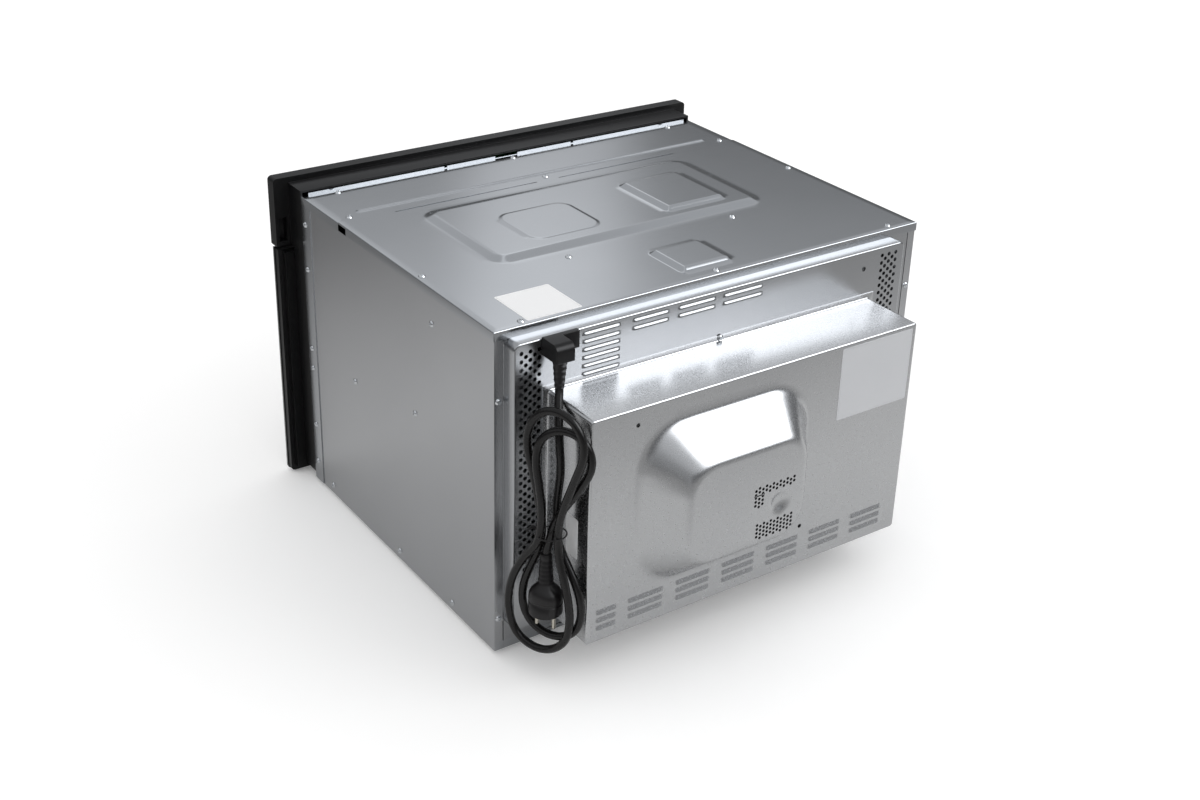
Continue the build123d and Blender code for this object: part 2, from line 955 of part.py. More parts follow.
def turntable_motor():
    # Flat gear motor under the cavity floor, on two ears.
    z1 = floor - sheet
    body = rod_z(turntable_motor_radius, z1 - turntable_motor_height, z1, 0, table_y)
    reach = turntable_motor_radius + motor_ear_reach
    ears = block(-reach, reach, table_y - motor_ear_half, table_y + motor_ear_half, z1 - 1, z1)
    return body + ears - rod_z(drive_shaft_radius + shaft_clearance, z1 - 12, z1 + 1, 0, table_y)


def turntable_coupler():
    # Drive hub under the tray with its shaft down into the motor.
    hub = rod_z(coupler_radius, floor + running_gap, tray_bottom, 0, table_y)
    return hub + rod_z(drive_shaft_radius, floor - sheet - 11, floor + running_gap, 0, table_y)


def glass_tray():
    z = tray_bottom
    profile = Polyline(
        (0, z),
        (tray_radius - 15, z),
        (tray_radius, z + tray_rim - 4),
        (tray_radius, z + tray_rim),
        (tray_radius - 3, z + tray_rim),
        (tray_radius - 17, z + tray_thickness),
        (0, z + tray_thickness),
        close=True,
    )
    return Pos(0, table_y, 0) * revolve(Plane.XZ * make_face(profile), axis=Axis.Z)


def roller_ring():
    # Ring with three outward pins for the wheels.
    z = floor + running_gap + wheel_radius
    ring = rod_z(ring_radius, z - ring_height / 2, z + ring_height / 2, 0, 0)
    ring -= rod_z(ring_radius - ring_width, z - ring_height, z + ring_height, 0, 0)
    pin_end = track_radius + wheel_width / 2 + 1.5
    for angle in wheel_angles():
        ring += Rot(0, 0, angle) * rod_x(wheel_pin_radius, ring_radius - 1, pin_end, 0, z)
    return Pos(0, table_y, 0) * ring


def wheel_angles():
    return 90, 210, 330


def roller_wheel(angle):
    z = floor + running_gap + wheel_radius
    half = wheel_width / 2
    tyre = rod_x(wheel_radius, track_radius - half, track_radius + half, 0, z)
    bore = rod_x(wheel_pin_radius + pin_clearance, track_radius - half - 1, track_radius + half + 1, 0, z)
    return Pos(0, table_y, 0) * Rot(0, 0, angle) * (tyre - bore)


def wire_rack():
    # Round grid of parallel bars in a ring, on three legs that stand on the tray.
    stand = tray_bottom + tray_thickness
    z = stand + rack_height
    rack = revolve(Plane.XZ * Pos(rack_radius, z) * RegularPolygon(rack_wire, 6), axis=Axis.Z)
    pitch = 2 * rack_radius / (rack_bars + 1)
    for step in range(rack_bars):
        x = pitch * (step + 1) - rack_radius
        half = math.sqrt(rack_radius**2 - x**2)
        rack += prism_y(rack_bar, -half, half, x, z, 6)
    for angle in wheel_angles():
        leg = along_z(Pos(rack_radius, 0) * RegularPolygon(rack_bar, 6), stand, z)
        rack += Rot(0, 0, angle) * leg
    return Pos(0, table_y, 0) * rack


def transformer():
    # Laminated core on the base with its windings standing out on both sides.
    y0 = front + transformer_y
    x0 = cavity_half + transformer_gap
    z0 = bottom + sheet
    reach = winding_reach
    inset = winding_inset
    core = block(x0, x0 + core_width, y0, y0 + core_length, z0, z0 + core_height)
    coil = block(
        x0 - reach,
        x0 + core_width + reach,
        y0 + inset,
        y0 + core_length - inset,
        z0 + inset,
        z0 + core_height - inset,
    )
    return core + chamfer(coil.edges().filter_by(Axis.Z), reach - 1)


def capacitor():
    # Oval can with two blade terminals.
    y = front + capacitor_y
    x = cavity_half + capacitor_gap
    z0 = bottom + sheet
    z1 = z0 + capacitor_height
    can = along_z(Pos(x, y) * SlotOverall(capacitor_width, capacitor_thickness), z0, z1)
    for side in (-1, 1):
        tab_x = x + side * terminal_pitch / 2
        can += block(tab_x - 3, tab_x + 3, y - 0.5, y + 0.5, z1, z1 + terminal_height)
    return can


def blower_housing():
    # Scroll casing on a pedestal, open at its inlet and towards the rear vents.
    x0 = cavity_half + blower_gap
    x1 = x0 + blower_width
    y = front + blower_y
    z = bottom + blower_rise

    def scroll(grow):
        drum = Pos(y, z) * Circle(blower_radius + grow)
        outlet = rect(y, y + outlet_reach, z - 4 - grow, z + blower_radius + grow)
        return drum + outlet

    casing = along_x(scroll(sheet), x0, x1) - along_x(scroll(0), x0 + sheet, x1 - sheet)
    mouth_y = y + outlet_reach
    casing -= block(x0 + sheet, x1 - sheet, mouth_y - 8, mouth_y + 4, z - 4, z + blower_radius)
    casing -= rod_x(inlet_radius, x0 - 1, x0 + 2, y, z)
    casing -= prism_x(drive_shaft_radius + 3, x1 - 2, x1 + 1, y, z)
    foot = block(x0, x1, y - pedestal_half, y + pedestal_half, bottom + sheet, z)
    return casing + (foot - rod_x(blower_radius + sheet / 2, x0 - 1, x1 + 1, y, z))


def blower_motor():
    x0 = cavity_half + blower_gap + blower_width
    y = front + blower_y
    z = bottom + blower_rise
    can = rod_x(blower_motor_radius, x0, x0 + 24, y, z)
    return can - rod_x(drive_shaft_radius + shaft_clearance, x0 - 1, x0 + 13, y, z)


def blower_wheel():
    # Squirrel-cage wheel: a disc, a rim ring and the blades between them.
    x0 = cavity_half + blower_gap + sheet + 4
    x1 = cavity_half + blower_gap + blower_width - sheet - 4
    inner = blower_wheel_radius - blade_depth
    disc = rod_x(blower_wheel_radius, x1 - 1.5, x1, 0, 0)
    rim = rod_x(blower_wheel_radius, x0, x0 + 1.5, 0, 0) - rod_x(inner, x0 - 1, x0 + 2, 0, 0)
    wheel = disc + rim + prism_x(9, x1 - 14, x1, 0, 0)
    for step in range(blower_blades):
        blade = block(x0, x1, inner, blower_wheel_radius - 0.2, -0.5, 0.5)
        wheel += Rot(360 / blower_blades * step, 0, 0) * blade
    wheel += rod_x(drive_shaft_radius, x1, cavity_half + blower_gap + blower_width + 12, 0, 0)
    return Pos(0, front + blower_y, bottom + blower_rise) * wheel


def feet():
    # Four tapered rubber feet under the base.
    y_far = back - foot_inset
    x = half_width - foot_inset
    ends = [
        Plane(origin=(0, 0, z)) * RegularPolygon(radius, 12)
        for z, radius in ((0, foot_radius - 2), (foot_height, foot_radius))
    ]
    foot = loft([end.face() for end in ends], ruled=True)
    return both_sides(Pos(x, front + foot_inset, 0) * foot + Pos(x, y_far, 0) * foot)


def top_front_strip():
    # Front part of the lid: a bead across it, folded sides and a notched lip at the front.
    high = top - sheet
    low = high - 6 * sheet
    body = block(-half_width, half_width, front, front + seam_y, low, high)
    tongue_y = front + seam_y + seam_overlap
    body += block(-half_width + sheet, half_width - sheet, front, tongue_y, low, high)
    bead = rod_x(bead_radius, -bead_half_length, bead_half_length, front + bead_y, high - bead_radius / 2)
    plate = pressed_up(body + bead)
    fold = block(half_width - sheet, half_width, front, front + seam_y, high - edge_flange, high)
    lip = block(-lip_half_length, lip_half_length, front, front + sheet, high, high + lip_height)
    for x in lip_notches:
        lip -= block(x - 2, x + 2, front - 1, front + 2, high + 1, high + lip_height)
    return plate + both_sides(fold) + lip


def raised(limits, border, z, rise, corner):
    # A low pressing with sloping borders that stands on the level z.
    x0, x1, y0, y1 = limits
    low = chamfer(rect(x0, x1, front + y0, front + y1).vertices(), corner)
    high = chamfer(rect(x0 + border, x1 - border, front + y0 + border, front + y1 - border).vertices(), corner / 2)
    ends = [(Plane(origin=(0, 0, z)) * low).face(), (Plane(origin=(0, 0, z + rise)) * high).face()]
    return loft(ends, ruled=True)


def top_cover():
    # Rear part of the lid: folded edges, tabs over the seam and the pressed stiffening panels.
    low = top - 8 * sheet
    outline = rect(-half_width, half_width, front + seam_y, back + sheet)
    for x in tab_spots:
        half = tab_width / 2
        tab = Polyline(
            (x - half, seam_y), (x - 5, seam_y - tab_reach), (x + 5, seam_y - tab_reach), (x + half, seam_y),
            close=True,
        )
        outline += Pos(0, front) * make_face(tab)
    body = along_z(outline, low, top)
    body += raised(lid_plateau, plateau_border, top, press_height, 18)
    body += raised(lid_high_pad, pad_border, top + press_height, press_height, 6)
    body += raised(lid_rear_pad, pad_border, top, press_height, 6)
    x0, x1, y0, y1 = lid_low_pad
    low_pad = chamfer(rect(x0, x1, front + y0, front + y1).vertices(), 18)
    body += along_z(low_pad, top + press_height, top + press_height + low_pad_height)
    plate = pressed_up(body)
    groove_y = front + seam_y + groove_setback
    for x0, x1 in grooves:
        plate -= block(x0, x1, groove_y, groove_y + groove_width, top - 2 * sheet, top + 1)
    side = block(half_width - sheet, half_width, front + seam_y, back, top - edge_flange, top - sheet)
    rear = block(-half_width, half_width, back, back + sheet, top - edge_flange, top - sheet)
    return plate + both_sides(side) + rear


def louvre(x0, x1, z, face_y):
    # A lanced hood: thin, closed at its ends and open downwards. Returns the hood and its opening.
    rise = louvre_rise
    outer = make_face(
        Polyline(
            (face_y - sheet, z + louvre_height),
            (face_y, z + louvre_height),
            (face_y + rise, z + 1),
            (face_y + rise, z),
            (face_y - sheet, z),
            close=True,
        )
    )
    inner = make_face(
        Polyline(
            (face_y - sheet, z + louvre_height - 1),
            (face_y, z + louvre_height - 1),
            (face_y + rise - 0.7, z + 0.6),
            (face_y + rise - 0.7, z),
            (face_y - sheet, z),
            close=True,
        )
    )
    return along_x(outer, x0, x1) - along_x(inner, x0 + 0.8, x1 - 0.8)


def louvre_rows():
    # Limits in x and height z of each hood on the panel above the box.
    rows = [(*tall_louvres, top_louvre - louvre_pitch * step) for step in range(6)]
    for span in low_louvres:
        rows += [(*span, top_louvre - louvre_pitch * step) for step in range(2)]
    return rows


def hole_field(x0, rows):
    # Staggered columns of four-sided punchings, from the top down.
    holes = []
    for column in range(hole_columns):
        shift = hole_pitch_z / 2 * (column % 2)
        for row in range(rows):
            z = bottom + vent_top - shift - hole_pitch_z * row
            holes.append(Pos(x0 + hole_pitch_x * column, z) * RegularPolygon(hole_radius, 4))
    return holes


def rear_panel():
    # Flat border behind the side folds and a large pan drawn out to the rear, with vents.
    y0 = back - 2 * sheet
    border = rect(-inner_x + sheet, inner_x - sheet, bottom + sheet, top - 2 * sheet)
    outer = rect(pan_left, pan_right, bottom + pan_sill, bottom + pan_head, pan_corner)
    inner = rect(
        pan_left + sheet,
        pan_right - sheet,
        bottom + pan_sill + sheet,
        bottom + pan_head - sheet,
        pan_corner - sheet,
    )
    rim = along_y(border - inner, y0, y0 + sheet)
    wall = along_y(outer - inner, y0, pan_face - sheet)
    holes = hole_field(vent_right_x, vent_right_rows) + hole_field(vent_left_x, vent_left_rows)
    holes.append(Pos(panel_hole[0], bottom + panel_hole[1]) * RegularPolygon(3, 8))
    holes.append(Pos(fan_x, fan_z) * Circle(panel_motor_hole))
    for x0, x1, z in louvre_rows():
        holes.append(rect(x0, x1, bottom + z, bottom + z + louvre_height))
    panel = rim + wall + along_y(pierced(outer, holes), pan_face - sheet, pan_face)
    for x0, x1, z in louvre_rows():
        panel += louvre(x0, x1, bottom + z, pan_face)
    return panel


def box_louvre_rows():
    # Seven groups of three hoods along the foot of the box.
    starts = [box_louvre_start - box_louvre_pitch * step for step in range(6)]
    spans = [corner_louvre] + [(x, x + box_louvre_width) for x in starts]
    return [(x0, x1, z) for x0, x1 in spans for z in box_louvres]


def dome(grow):
    # The swelling on the box's rear face, over the motor: straight flanks between a soft root and crest.
    stages = [(0, 0), (0.12, 0.06), (0.86, 0.94), (1, 1)]
    sections = []
    for inward, outward in stages:
        x0 = dome_left - grow + inward * (plateau_left - dome_left)
        x1 = dome_right + grow + inward * (plateau_right - dome_right)
        z0 = dome_sill - grow + inward * (plateau_sill - dome_sill)
        z1 = dome_head + grow + inward * (plateau_head - dome_head)
        corner = dome_corner + grow + inward * (plateau_corner - dome_corner)
        y = box_face + grow + outward * dome_rise
        plane = Plane(origin=(0, y, 0), x_dir=(1, 0, 0), z_dir=(0, -1, 0))
        sections.append((plane * rect(x0, x1, bottom + z0, bottom + z1, corner)).face())
    return loft(sections, ruled=True)


def dimple(grow):
    # Round dish in the dome's crest.
    radii = (dimple_radius + grow, dimple_radius - dimple_depth + grow)
    ends = []
    for radius, y in zip(radii, (dome_face + grow, dome_face - dimple_depth - grow)):
        plane = Plane(origin=(dimple_x, y, bottom + dimple_rise), x_dir=(1, 0, 0), z_dir=(0, -1, 0))
        ends.append((plane * RegularPolygon(radius, 16)).face())
    return loft(ends, ruled=True)


def small_holes():
    # Fine punchings on the dome, above, below and to one side of the dimple.
    rows = int((small_high - small_low) / small_pitch) + 1
    columns = int((small_left - small_right) / small_pitch) + 1
    holes = []
    for row in range(rows):
        for column in range(columns):
            x = small_right + small_pitch * (column + 0.5 * (row % 2))
            z = small_low + small_pitch * row
            beside = math.hypot(x - dimple_x, z - dimple_rise) < dimple_radius + 4
            bare = dimple_rise - dimple_radius < z < dimple_rise + dimple_radius and x < dimple_x + dimple_radius
            if not beside and not bare:
                holes.append(Pos(x, bottom + z) * RegularPolygon(small_hole_radius, 4))
    return holes


def rear_cover():
    # Drawn box over the hot-air motor: louvres at its foot, a dome and flanges on the panel.
    z0 = bottom + box_sill
    z1 = bottom + box_head

    def shell(inset):
        body = block(box_left + inset, box_right - inset, pan_face, box_face - inset, z0 + inset, z1 - inset)
        return chamfer(body.faces().sort_by(Axis.Y)[-1].edges(), box_edge - inset)

    cover = shell(0) + dome(0) - dimple(0) - (shell(sheet) + dome(-sheet) - dimple(sheet))
    cover -= [along_y(hole, dome_face - 3, dome_face + 1) for hole in small_holes()]
    slots = [
        block(a, b, box_face - 2, box_face + 1, bottom + z, bottom + z + louvre_height)
        for a, b, z in box_louvre_rows()
    ]
    cover -= slots
    cover += [louvre(a, b, bottom + z, box_face) for a, b, z in box_louvre_rows()]
    top_flange = block(box_left + 6, box_right - 40, pan_face, pan_face + sheet, z1, z1 + 6)
    left_flange = block(box_left - edge_flange, box_left, pan_face, pan_face + sheet, z0, z1 - 4)
    right_flange = block(box_right, box_right + 8, pan_face, pan_face + sheet, z0, z1 - 4)
    cover = cover + top_flange + left_flange + right_flange
    for x, z in box_holes:
        cover -= prism_y(box_hole_radius, box_face - 3, box_face + 1, x, bottom + z)
    return cover


def screw_head(x, y, z, toward):
    # A low six-sided head seated on a surface that faces along one axis.
    plane = Plane(origin=(x, y, z), z_dir=toward)
    return extrude(plane * RegularPolygon(screw_radius, 6), amount=screw_height)


def cover_screws():
    # All visible sheet-metal screws: lid, both sides and rear.
    heads = [screw_head(x, front + strip_screw_y, top - sheet, (0, 0, 1)) for x in strip_screws]
    heads += [screw_head(x, front + y, top, (0, 0, 1)) for x, y in seam_screws + lid_screws]
    for side in (-1, 1):
        direction = (side, 0, 0)
        for z in fold_screws:
            heads.append(screw_head(side * half_width, front + fold_screw_y, bottom + z, direction))
        wall_x = side * (half_width - sheet)
        heads += [screw_head(wall_x, front + y, bottom + z, direction) for y, z in side_screws]
        rear_x = side * (half_width - sheet - edge_flange / 2)
        heads += [screw_head(rear_x, back, bottom + z, (0, 1, 0)) for z in rear_screws]
    heads.append(screw_head(box_screw_x, pan_face + sheet, bottom + box_head + box_screw_rise, (0, 1, 0)))
    return Compound(children=[head.solid() for head in heads])


def cord_clamp():
    # Black clamp on the rear panel whose hood turns the cord downwards.
    z0 = bottom + clamp_rise
    z1 = z0 + clamp_height
    plate = block(clamp_left, clamp_right, pan_face, pan_face + clamp_plate, z0, z1)
    hood_x = cord_route()[0][0] - hood_reach
    hood = block(hood_x, clamp_right, pan_face + clamp_plate, pan_face + clamp_depth, z0, z1)
    hood = fillet(hood.edges().filter_by(Axis.X).group_by(Axis.Y)[-1].sort_by(Axis.Z)[-1], hood_round)
    return plate + hood


def cord_route():
    # The stretch that hangs from the clamp to the tied hank, as points on its middle line.
    z = bottom
    return [
        (226, front + 460, z + 345),
        (226, front + 460, z + 321),
        (236, front + 474, z + 297),
        (242.5, front + 486, z + 272),
        (241.5, front + 489, z + 240),
        (243.5, front + 485.5, z + 209),
        (243.5, front + 485.5, z + 184),
    ]


def cord_tube():
    points = cord_route()
    radii = []
    for before, here, after in zip(points, points[1:], points[2:]):
        run_in = Vector(*here) - Vector(*before)
        run_out = Vector(*after) - Vector(*here)
        turn = math.radians(run_in.get_angle(run_out))
        radii.append(0.45 * min(run_in.length, run_out.length) / math.tan(turn / 2))
    print("cord radii", [round(radius, 1) for radius in radii])
    path = FilletPolyline(*points, radius=radii)
    tube = sweep(Plane(origin=path @ 0, z_dir=path % 0) * Circle(cord_radius), path=path)
    print("cord tube volume", round(tube.volume), "section by length", round(math.pi * cord_radius**2 * path.length))
    return tube


def hank_plane():
    # Upright plane of the tied cord: local x runs along the hank, local y is up.
    turn = math.radians(hank_turn)
    across = (math.cos(turn), math.sin(turn), 0)
    along = (-math.sin(turn), math.cos(turn), 0)
    return Plane(origin=(hank_x, front + hank_y, bottom), x_dir=along, z_dir=across)


def waist():
    # Section of the bundle where the tie holds it, in the hank's own along and across.
    return rect(*waist_span, -waist_depth, hank_half_thickness)


def waist_plane(z):
    turn = math.radians(hank_turn)
    along = (-math.sin(turn), math.cos(turn), 0)
    return Plane(origin=(hank_x, front + hank_y, bottom + z), x_dir=along, z_dir=(0, 0, -1))


def cord_hank():
    # Outer shape of the tied loops: a long upper loop, a gripped waist and a lower loop.
    outline = make_face(
        Polyline(
            (-13, 180), (-20, 225), (-26, 272), (-21, 303), (-3, 316), (16, 317), (34, 305), (42, 272),
            (34, 240), (15, 180), (15, 160), (27, 122), (33, 86), (28, 57), (9, 36.5), (-14, 32.5),
            (-39, 46), (-47, 78), (-45, 113), (-13, 160), close=True,
        )
    )
    outline = fillet(outline.vertices(), 5)
    outline -= make_face(
        Polyline((-9, 150), (5, 150), (19, 112), (19, 54), (-24, 54), (-24, 112), close=True)
    )
    slab = extrude(hank_plane() * outline, amount=hank_half_thickness, both=True)
    grip = extrude(waist_plane(waist_high) * mirror(waist(), about=Plane.XZ), amount=waist_high - waist_low)
    return slab + grip


def cord_tie():
    # Wire tie round the waist.
    inner = mirror(waist(), about=Plane.XZ)
    outer = offset(inner, amount=tie_thickness)
    return extrude(waist_plane(tie_rise + tie_height) * (outer - inner), amount=tie_height)


def plug():
    # Moulded mains plug hanging in the lower loop: ribbed relief, body and two round pins.
    radius = plug_radius
    profile = Polyline(
        (0, plug_head),
        (6, plug_head),
        (7, plug_head - 12),
        (5.5, plug_head - 13),
        (7.5, plug_head - 24),
        (6, plug_head - 25),
        (8, plug_head - 35),
        (radius - 2, plug_head - 42),
        (radius, plug_head - 50),
        (radius, plug_face),
        (0, plug_face),
        close=True,
    )
    body = revolve(make_face(profile), axis=Axis.Y)
    for side in (-1, 1):
        pin = Cylinder(plug_pin_radius, pin_length_out)
        body += Pos(side * pin_pitch / 2, plug_face - pin_length_out / 2 + 0.5, 0) * Rot(90, 0, 0) * pin
    return hank_plane() * Pos(plug_x, 0, 0) * body


right_side = side_panel()
pieces["base_plate"] = base_plate()
pieces["side_panel_right"] = right_side
pieces["side_panel_left"] = mirror(right_side, about=Plane.YZ)
pieces["front_plate"] = front_plate()
pieces["front_surround"] = front_surround()
pieces["hinge_brackets"] = hinge_brackets()
pieces["hinge_pins"] = hinge_pins()
pieces["door_glass"] = door_glass()
pieces["door_frame"] = door_frame()
pieces["door_choke"] = door_choke()
pieces["window_screen"] = window_screen()
pieces["inner_glass"] = inner_glass()
pieces["door_handle"] = door_handle()
pieces["latch_hooks"] = latch_hooks()
pieces["interlock_switches"] = interlock_switches()
pieces["control_panel"] = control_panel()
pieces["display_window"] = display_window()
pieces["control_board"] = control_board()
pieces["encoders"] = encoders()
pieces["knob_left"] = knob(-knob_x)
pieces["knob_right"] = knob(knob_x)
pieces["cavity_liner"] = cavity_liner()
pieces["waveguide"] = waveguide()
pieces["magnetron"] = magnetron()
pieces["waveguide_cover"] = waveguide_cover()
pieces["grill_heater"] = grill_heater()
pieces["fan_cover"] = fan_cover()
pieces["fan_housing"] = fan_housing()
pieces["ring_heater"] = ring_heater()
pieces["convection_fan"] = convection_fan()
pieces["motor_bracket"] = motor_bracket()
pieces["convection_motor"] = convection_motor()
pieces["oven_lamp"] = oven_lamp()
pieces["turntable_motor"] = turntable_motor()
pieces["turntable_coupler"] = turntable_coupler()
pieces["glass_tray"] = glass_tray()
pieces["roller_ring"] = roller_ring()
for number, angle in enumerate(wheel_angles(), 1):
    pieces[f"roller_wheel_{number}"] = roller_wheel(angle)
pieces["wire_rack"] = wire_rack()
pieces["transformer"] = transformer()
pieces["capacitor"] = capacitor()
pieces["blower_housing"] = blower_housing()
pieces["blower_motor"] = blower_motor()
pieces["blower_wheel"] = blower_wheel()
pieces["feet"] = feet()
pieces["top_front_strip"] = top_front_strip()
pieces["top_cover"] = top_cover()
pieces["rear_panel"] = rear_panel()
pieces["rear_cover"] = rear_cover()
pieces["cover_screws"] = cover_screws()
pieces["cord_clamp"] = cord_clamp()
pieces["cord_tube"] = cord_tube()
pieces["cord_hank"] = cord_hank()
pieces["cord_tie"] = cord_tie()
pieces["plug"] = plug()

os.makedirs("parts", exist_ok=True)
for name, piece in pieces.items():
    export_step(piece, f"parts/{name}.step")
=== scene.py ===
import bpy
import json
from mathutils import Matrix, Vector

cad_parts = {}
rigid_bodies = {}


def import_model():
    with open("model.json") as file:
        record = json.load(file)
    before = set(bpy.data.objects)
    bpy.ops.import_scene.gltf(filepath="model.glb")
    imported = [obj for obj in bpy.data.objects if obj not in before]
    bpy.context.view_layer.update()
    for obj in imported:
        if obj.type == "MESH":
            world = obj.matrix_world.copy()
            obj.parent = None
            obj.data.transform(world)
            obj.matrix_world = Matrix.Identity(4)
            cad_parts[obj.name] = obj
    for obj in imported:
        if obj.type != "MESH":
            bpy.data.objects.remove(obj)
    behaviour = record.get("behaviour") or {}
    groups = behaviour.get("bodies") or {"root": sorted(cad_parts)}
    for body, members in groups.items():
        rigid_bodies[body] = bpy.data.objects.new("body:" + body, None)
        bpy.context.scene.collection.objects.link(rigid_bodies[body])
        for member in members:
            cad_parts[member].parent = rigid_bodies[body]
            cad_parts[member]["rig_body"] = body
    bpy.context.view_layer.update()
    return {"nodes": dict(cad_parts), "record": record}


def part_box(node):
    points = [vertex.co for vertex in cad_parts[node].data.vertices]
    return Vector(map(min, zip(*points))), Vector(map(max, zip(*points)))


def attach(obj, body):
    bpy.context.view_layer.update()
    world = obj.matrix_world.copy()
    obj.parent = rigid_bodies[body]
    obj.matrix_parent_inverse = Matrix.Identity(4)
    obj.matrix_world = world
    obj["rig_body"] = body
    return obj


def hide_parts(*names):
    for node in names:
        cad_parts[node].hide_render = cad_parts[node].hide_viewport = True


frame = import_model()

import bmesh
import bpy
import json
import math
import numpy as np
from mathutils import Matrix, Vector

mm = 0.001
nodes = frame["nodes"]


def placed(name, data):
    # an object with this data, linked to the scene
    piece = bpy.data.objects.new(name, data)
    bpy.context.scene.collection.objects.link(piece)
    return piece


def linear(hexCode):
    # sRGB hex to the linear colour that a shader takes
    parts = [int(hexCode[i:i + 2], 16) / 255 for i in (0, 2, 4)]
    return tuple(c / 12.92 if c <= 0.04045 else ((c + 0.055) / 1.055) ** 2.4 for c in parts) + (1.0,)


def addNode(tree, kind, settings=None, inputs=None):
    # one shader node: settings are its own properties, inputs are values or the sockets that feed it
    node = tree.nodes.new(kind)
    for name, value in (settings or {}).items():
        setattr(node, name, value)
    for name, value in (inputs or {}).items():
        if isinstance(value, bpy.types.NodeSocket):
            tree.links.new(value, node.inputs[name])
        else:
            node.inputs[name].default_value = value
    return node


def mapped(tree, value, start, end, before, after, kind="LINEAR"):
    # a value carried from the range start to end into the range before to after
    return addNode(tree, "ShaderNodeMapRange", {"interpolation_type": kind}, {
        "Value": value, "From Min": start, "From Max": end, "To Min": before, "To Max": after,
    }).outputs["Result"]


def reckoned(tree, operation, *values):
    return addNode(tree, "ShaderNodeMath", {"operation": operation}, dict(enumerate(values))).outputs[0]


def dotted(tree, one, other):
    node = addNode(tree, "ShaderNodeVectorMath", {"operation": "DOT_PRODUCT"}, {0: one, 1: other})
    return node.outputs["Value"]


def blended(tree, share, plain, full):
    return addNode(tree, "ShaderNodeMix", {"data_type": "RGBA"}, {0: share, 6: plain, 7: full}).outputs[2]


metal = {"Metallic": 1.0}


def finish(name, grain, cloud, dark, light, rough, share=0.5, bump=0.1, depth=0.05, sockets=metal):
    # Two noises on the Object coordinates mix the dark and light colour: one as long and as wide as the
    # grain in mm, by its share, and one for broad clouds. The grain also bumps the surface.
    material = bpy.data.materials.new(name)
    material.use_nodes = True
    tree = material.node_tree
    shader = tree.nodes["Principled BSDF"]
    place = addNode(tree, "ShaderNodeTexCoord").outputs["Object"]
    stretched = addNode(tree, "ShaderNodeMapping", inputs={
        "Vector": place, "Scale": [1 / (size * mm) for size in grain],
    }).outputs["Vector"]
    streaks = addNode(tree, "ShaderNodeTexNoise", inputs={
        "Vector": stretched, "Scale": 1.0, "Detail": 3.0, "Roughness": 0.6,
    }).outputs["Fac"]
    clouds = addNode(tree, "ShaderNodeTexNoise", inputs={
        "Vector": place, "Scale": 1 / (cloud * mm), "Detail": 2.0,
    }).outputs["Fac"]
    spread = reckoned(tree, "MULTIPLY_ADD", streaks, share, reckoned(tree, "MULTIPLY", clouds, 1 - share))
    sources = {
        "Base Color": blended(tree, spread, linear(dark), linear(light)),
        "Roughness": mapped(tree, streaks, 0.3, 0.7, *rough),
        "Normal": addNode(tree, "ShaderNodeBump", inputs={
            "Height": streaks, "Strength": bump, "Distance": depth * mm,
        }).outputs["Normal"],
    }
    for socket, source in sources.items():
        tree.links.new(source, shader.inputs[socket])
    for socket, value in sockets.items():
        shader.inputs[socket].default_value = value
    return material


# Electro-galvanised sheet: bluish grey, almost even, with faint streaks along the rolling direction.
zincSheet = finish(
    "electroGalvanisedSteel", grain=(26, 1.1, 1.1), cloud=130, share=0.35, dark="a8abae", light="b7b9bc",
    rough=(0.14, 0.17), bump=0.02,
)
# The deep-drawn rear box is stretched from the same sheet, so it is duller and its grain is finer.
drawnZinc = finish(
    "deepDrawnGalvanisedSteel", grain=(3, 3, 3), cloud=110, share=0.3, dark="babbbd", light="c5c6c7",
    rough=(0.25, 0.28), bump=0.01,
)
# The rear wall's sheet, a little darker, because it lies in the shade of the lid and the box.
rearZinc = finish(
    "rearWallGalvanisedSteel", grain=(22, 1.1, 1.1), cloud=110, share=0.35, dark="a4a6a8", light="b2b3b5",
    rough=(0.22, 0.26), bump=0.02,
)
# Folded side sheets, rolled upwards: the streaks stand on end.
sideZinc = finish(
    "galvanisedSideSheet", grain=(1.1, 1.1, 30), cloud=150, share=0.35, dark="afb0b2", light="bbbcbe",
    rough=(0.22, 0.27), bump=0.02,
)
# Plain mild steel of brackets and ducts, a little darker and duller than zinc.
mildSteel = finish(
    "mildSteel", grain=(8, 0.8, 0.8), cloud=40, dark="77787a", light="939496", rough=(0.34, 0.44),
)
# Bright zinc plating of screws and rack wire: cool and close to polished.
brightZinc = finish(
    "brightZincPlating", grain=(1.2, 1.2, 1.2), cloud=12, dark="c6c9cc", light="dcdee0", rough=(0.14, 0.22),
    bump=0.04, depth=0.03,
)
# Brushed and anodised aluminium: fine lines along the bar, a silky sheen.
anodisedAluminium = finish(
    "brushedAnodisedAluminium", grain=(40, 0.35, 0.35), cloud=60, share=0.6, dark="aeafb1", light="c9cacc",
    rough=(0.24, 0.36), bump=0.12, depth=0.03,
)
# Black-printed float glass of the door and display: deep, smooth and glossy.
blackGlass = finish(
    "backPrintedBlackGlass", grain=(30, 30, 30), cloud=200, share=0.3, dark="08090a", light="0c0d0f",
    rough=(0.03, 0.05), bump=0.01, depth=0.02,
    sockets={"IOR": 1.5, "Coat Weight": 0.6, "Coat Roughness": 0.03},
)
# Black ABS mouldings: spark-eroded grain under half a millimetre, drawn at 0.8 mm so that it shows.
blackAbs = finish(
    "mouldedBlackAbs", grain=(0.8, 0.8, 0.8), cloud=70, share=0.6, dark="070708", light="101011",
    rough=(0.3, 0.42), bump=0.12, depth=0.04, sockets={"IOR": 1.53, "Specular IOR Level": 0.25},
)
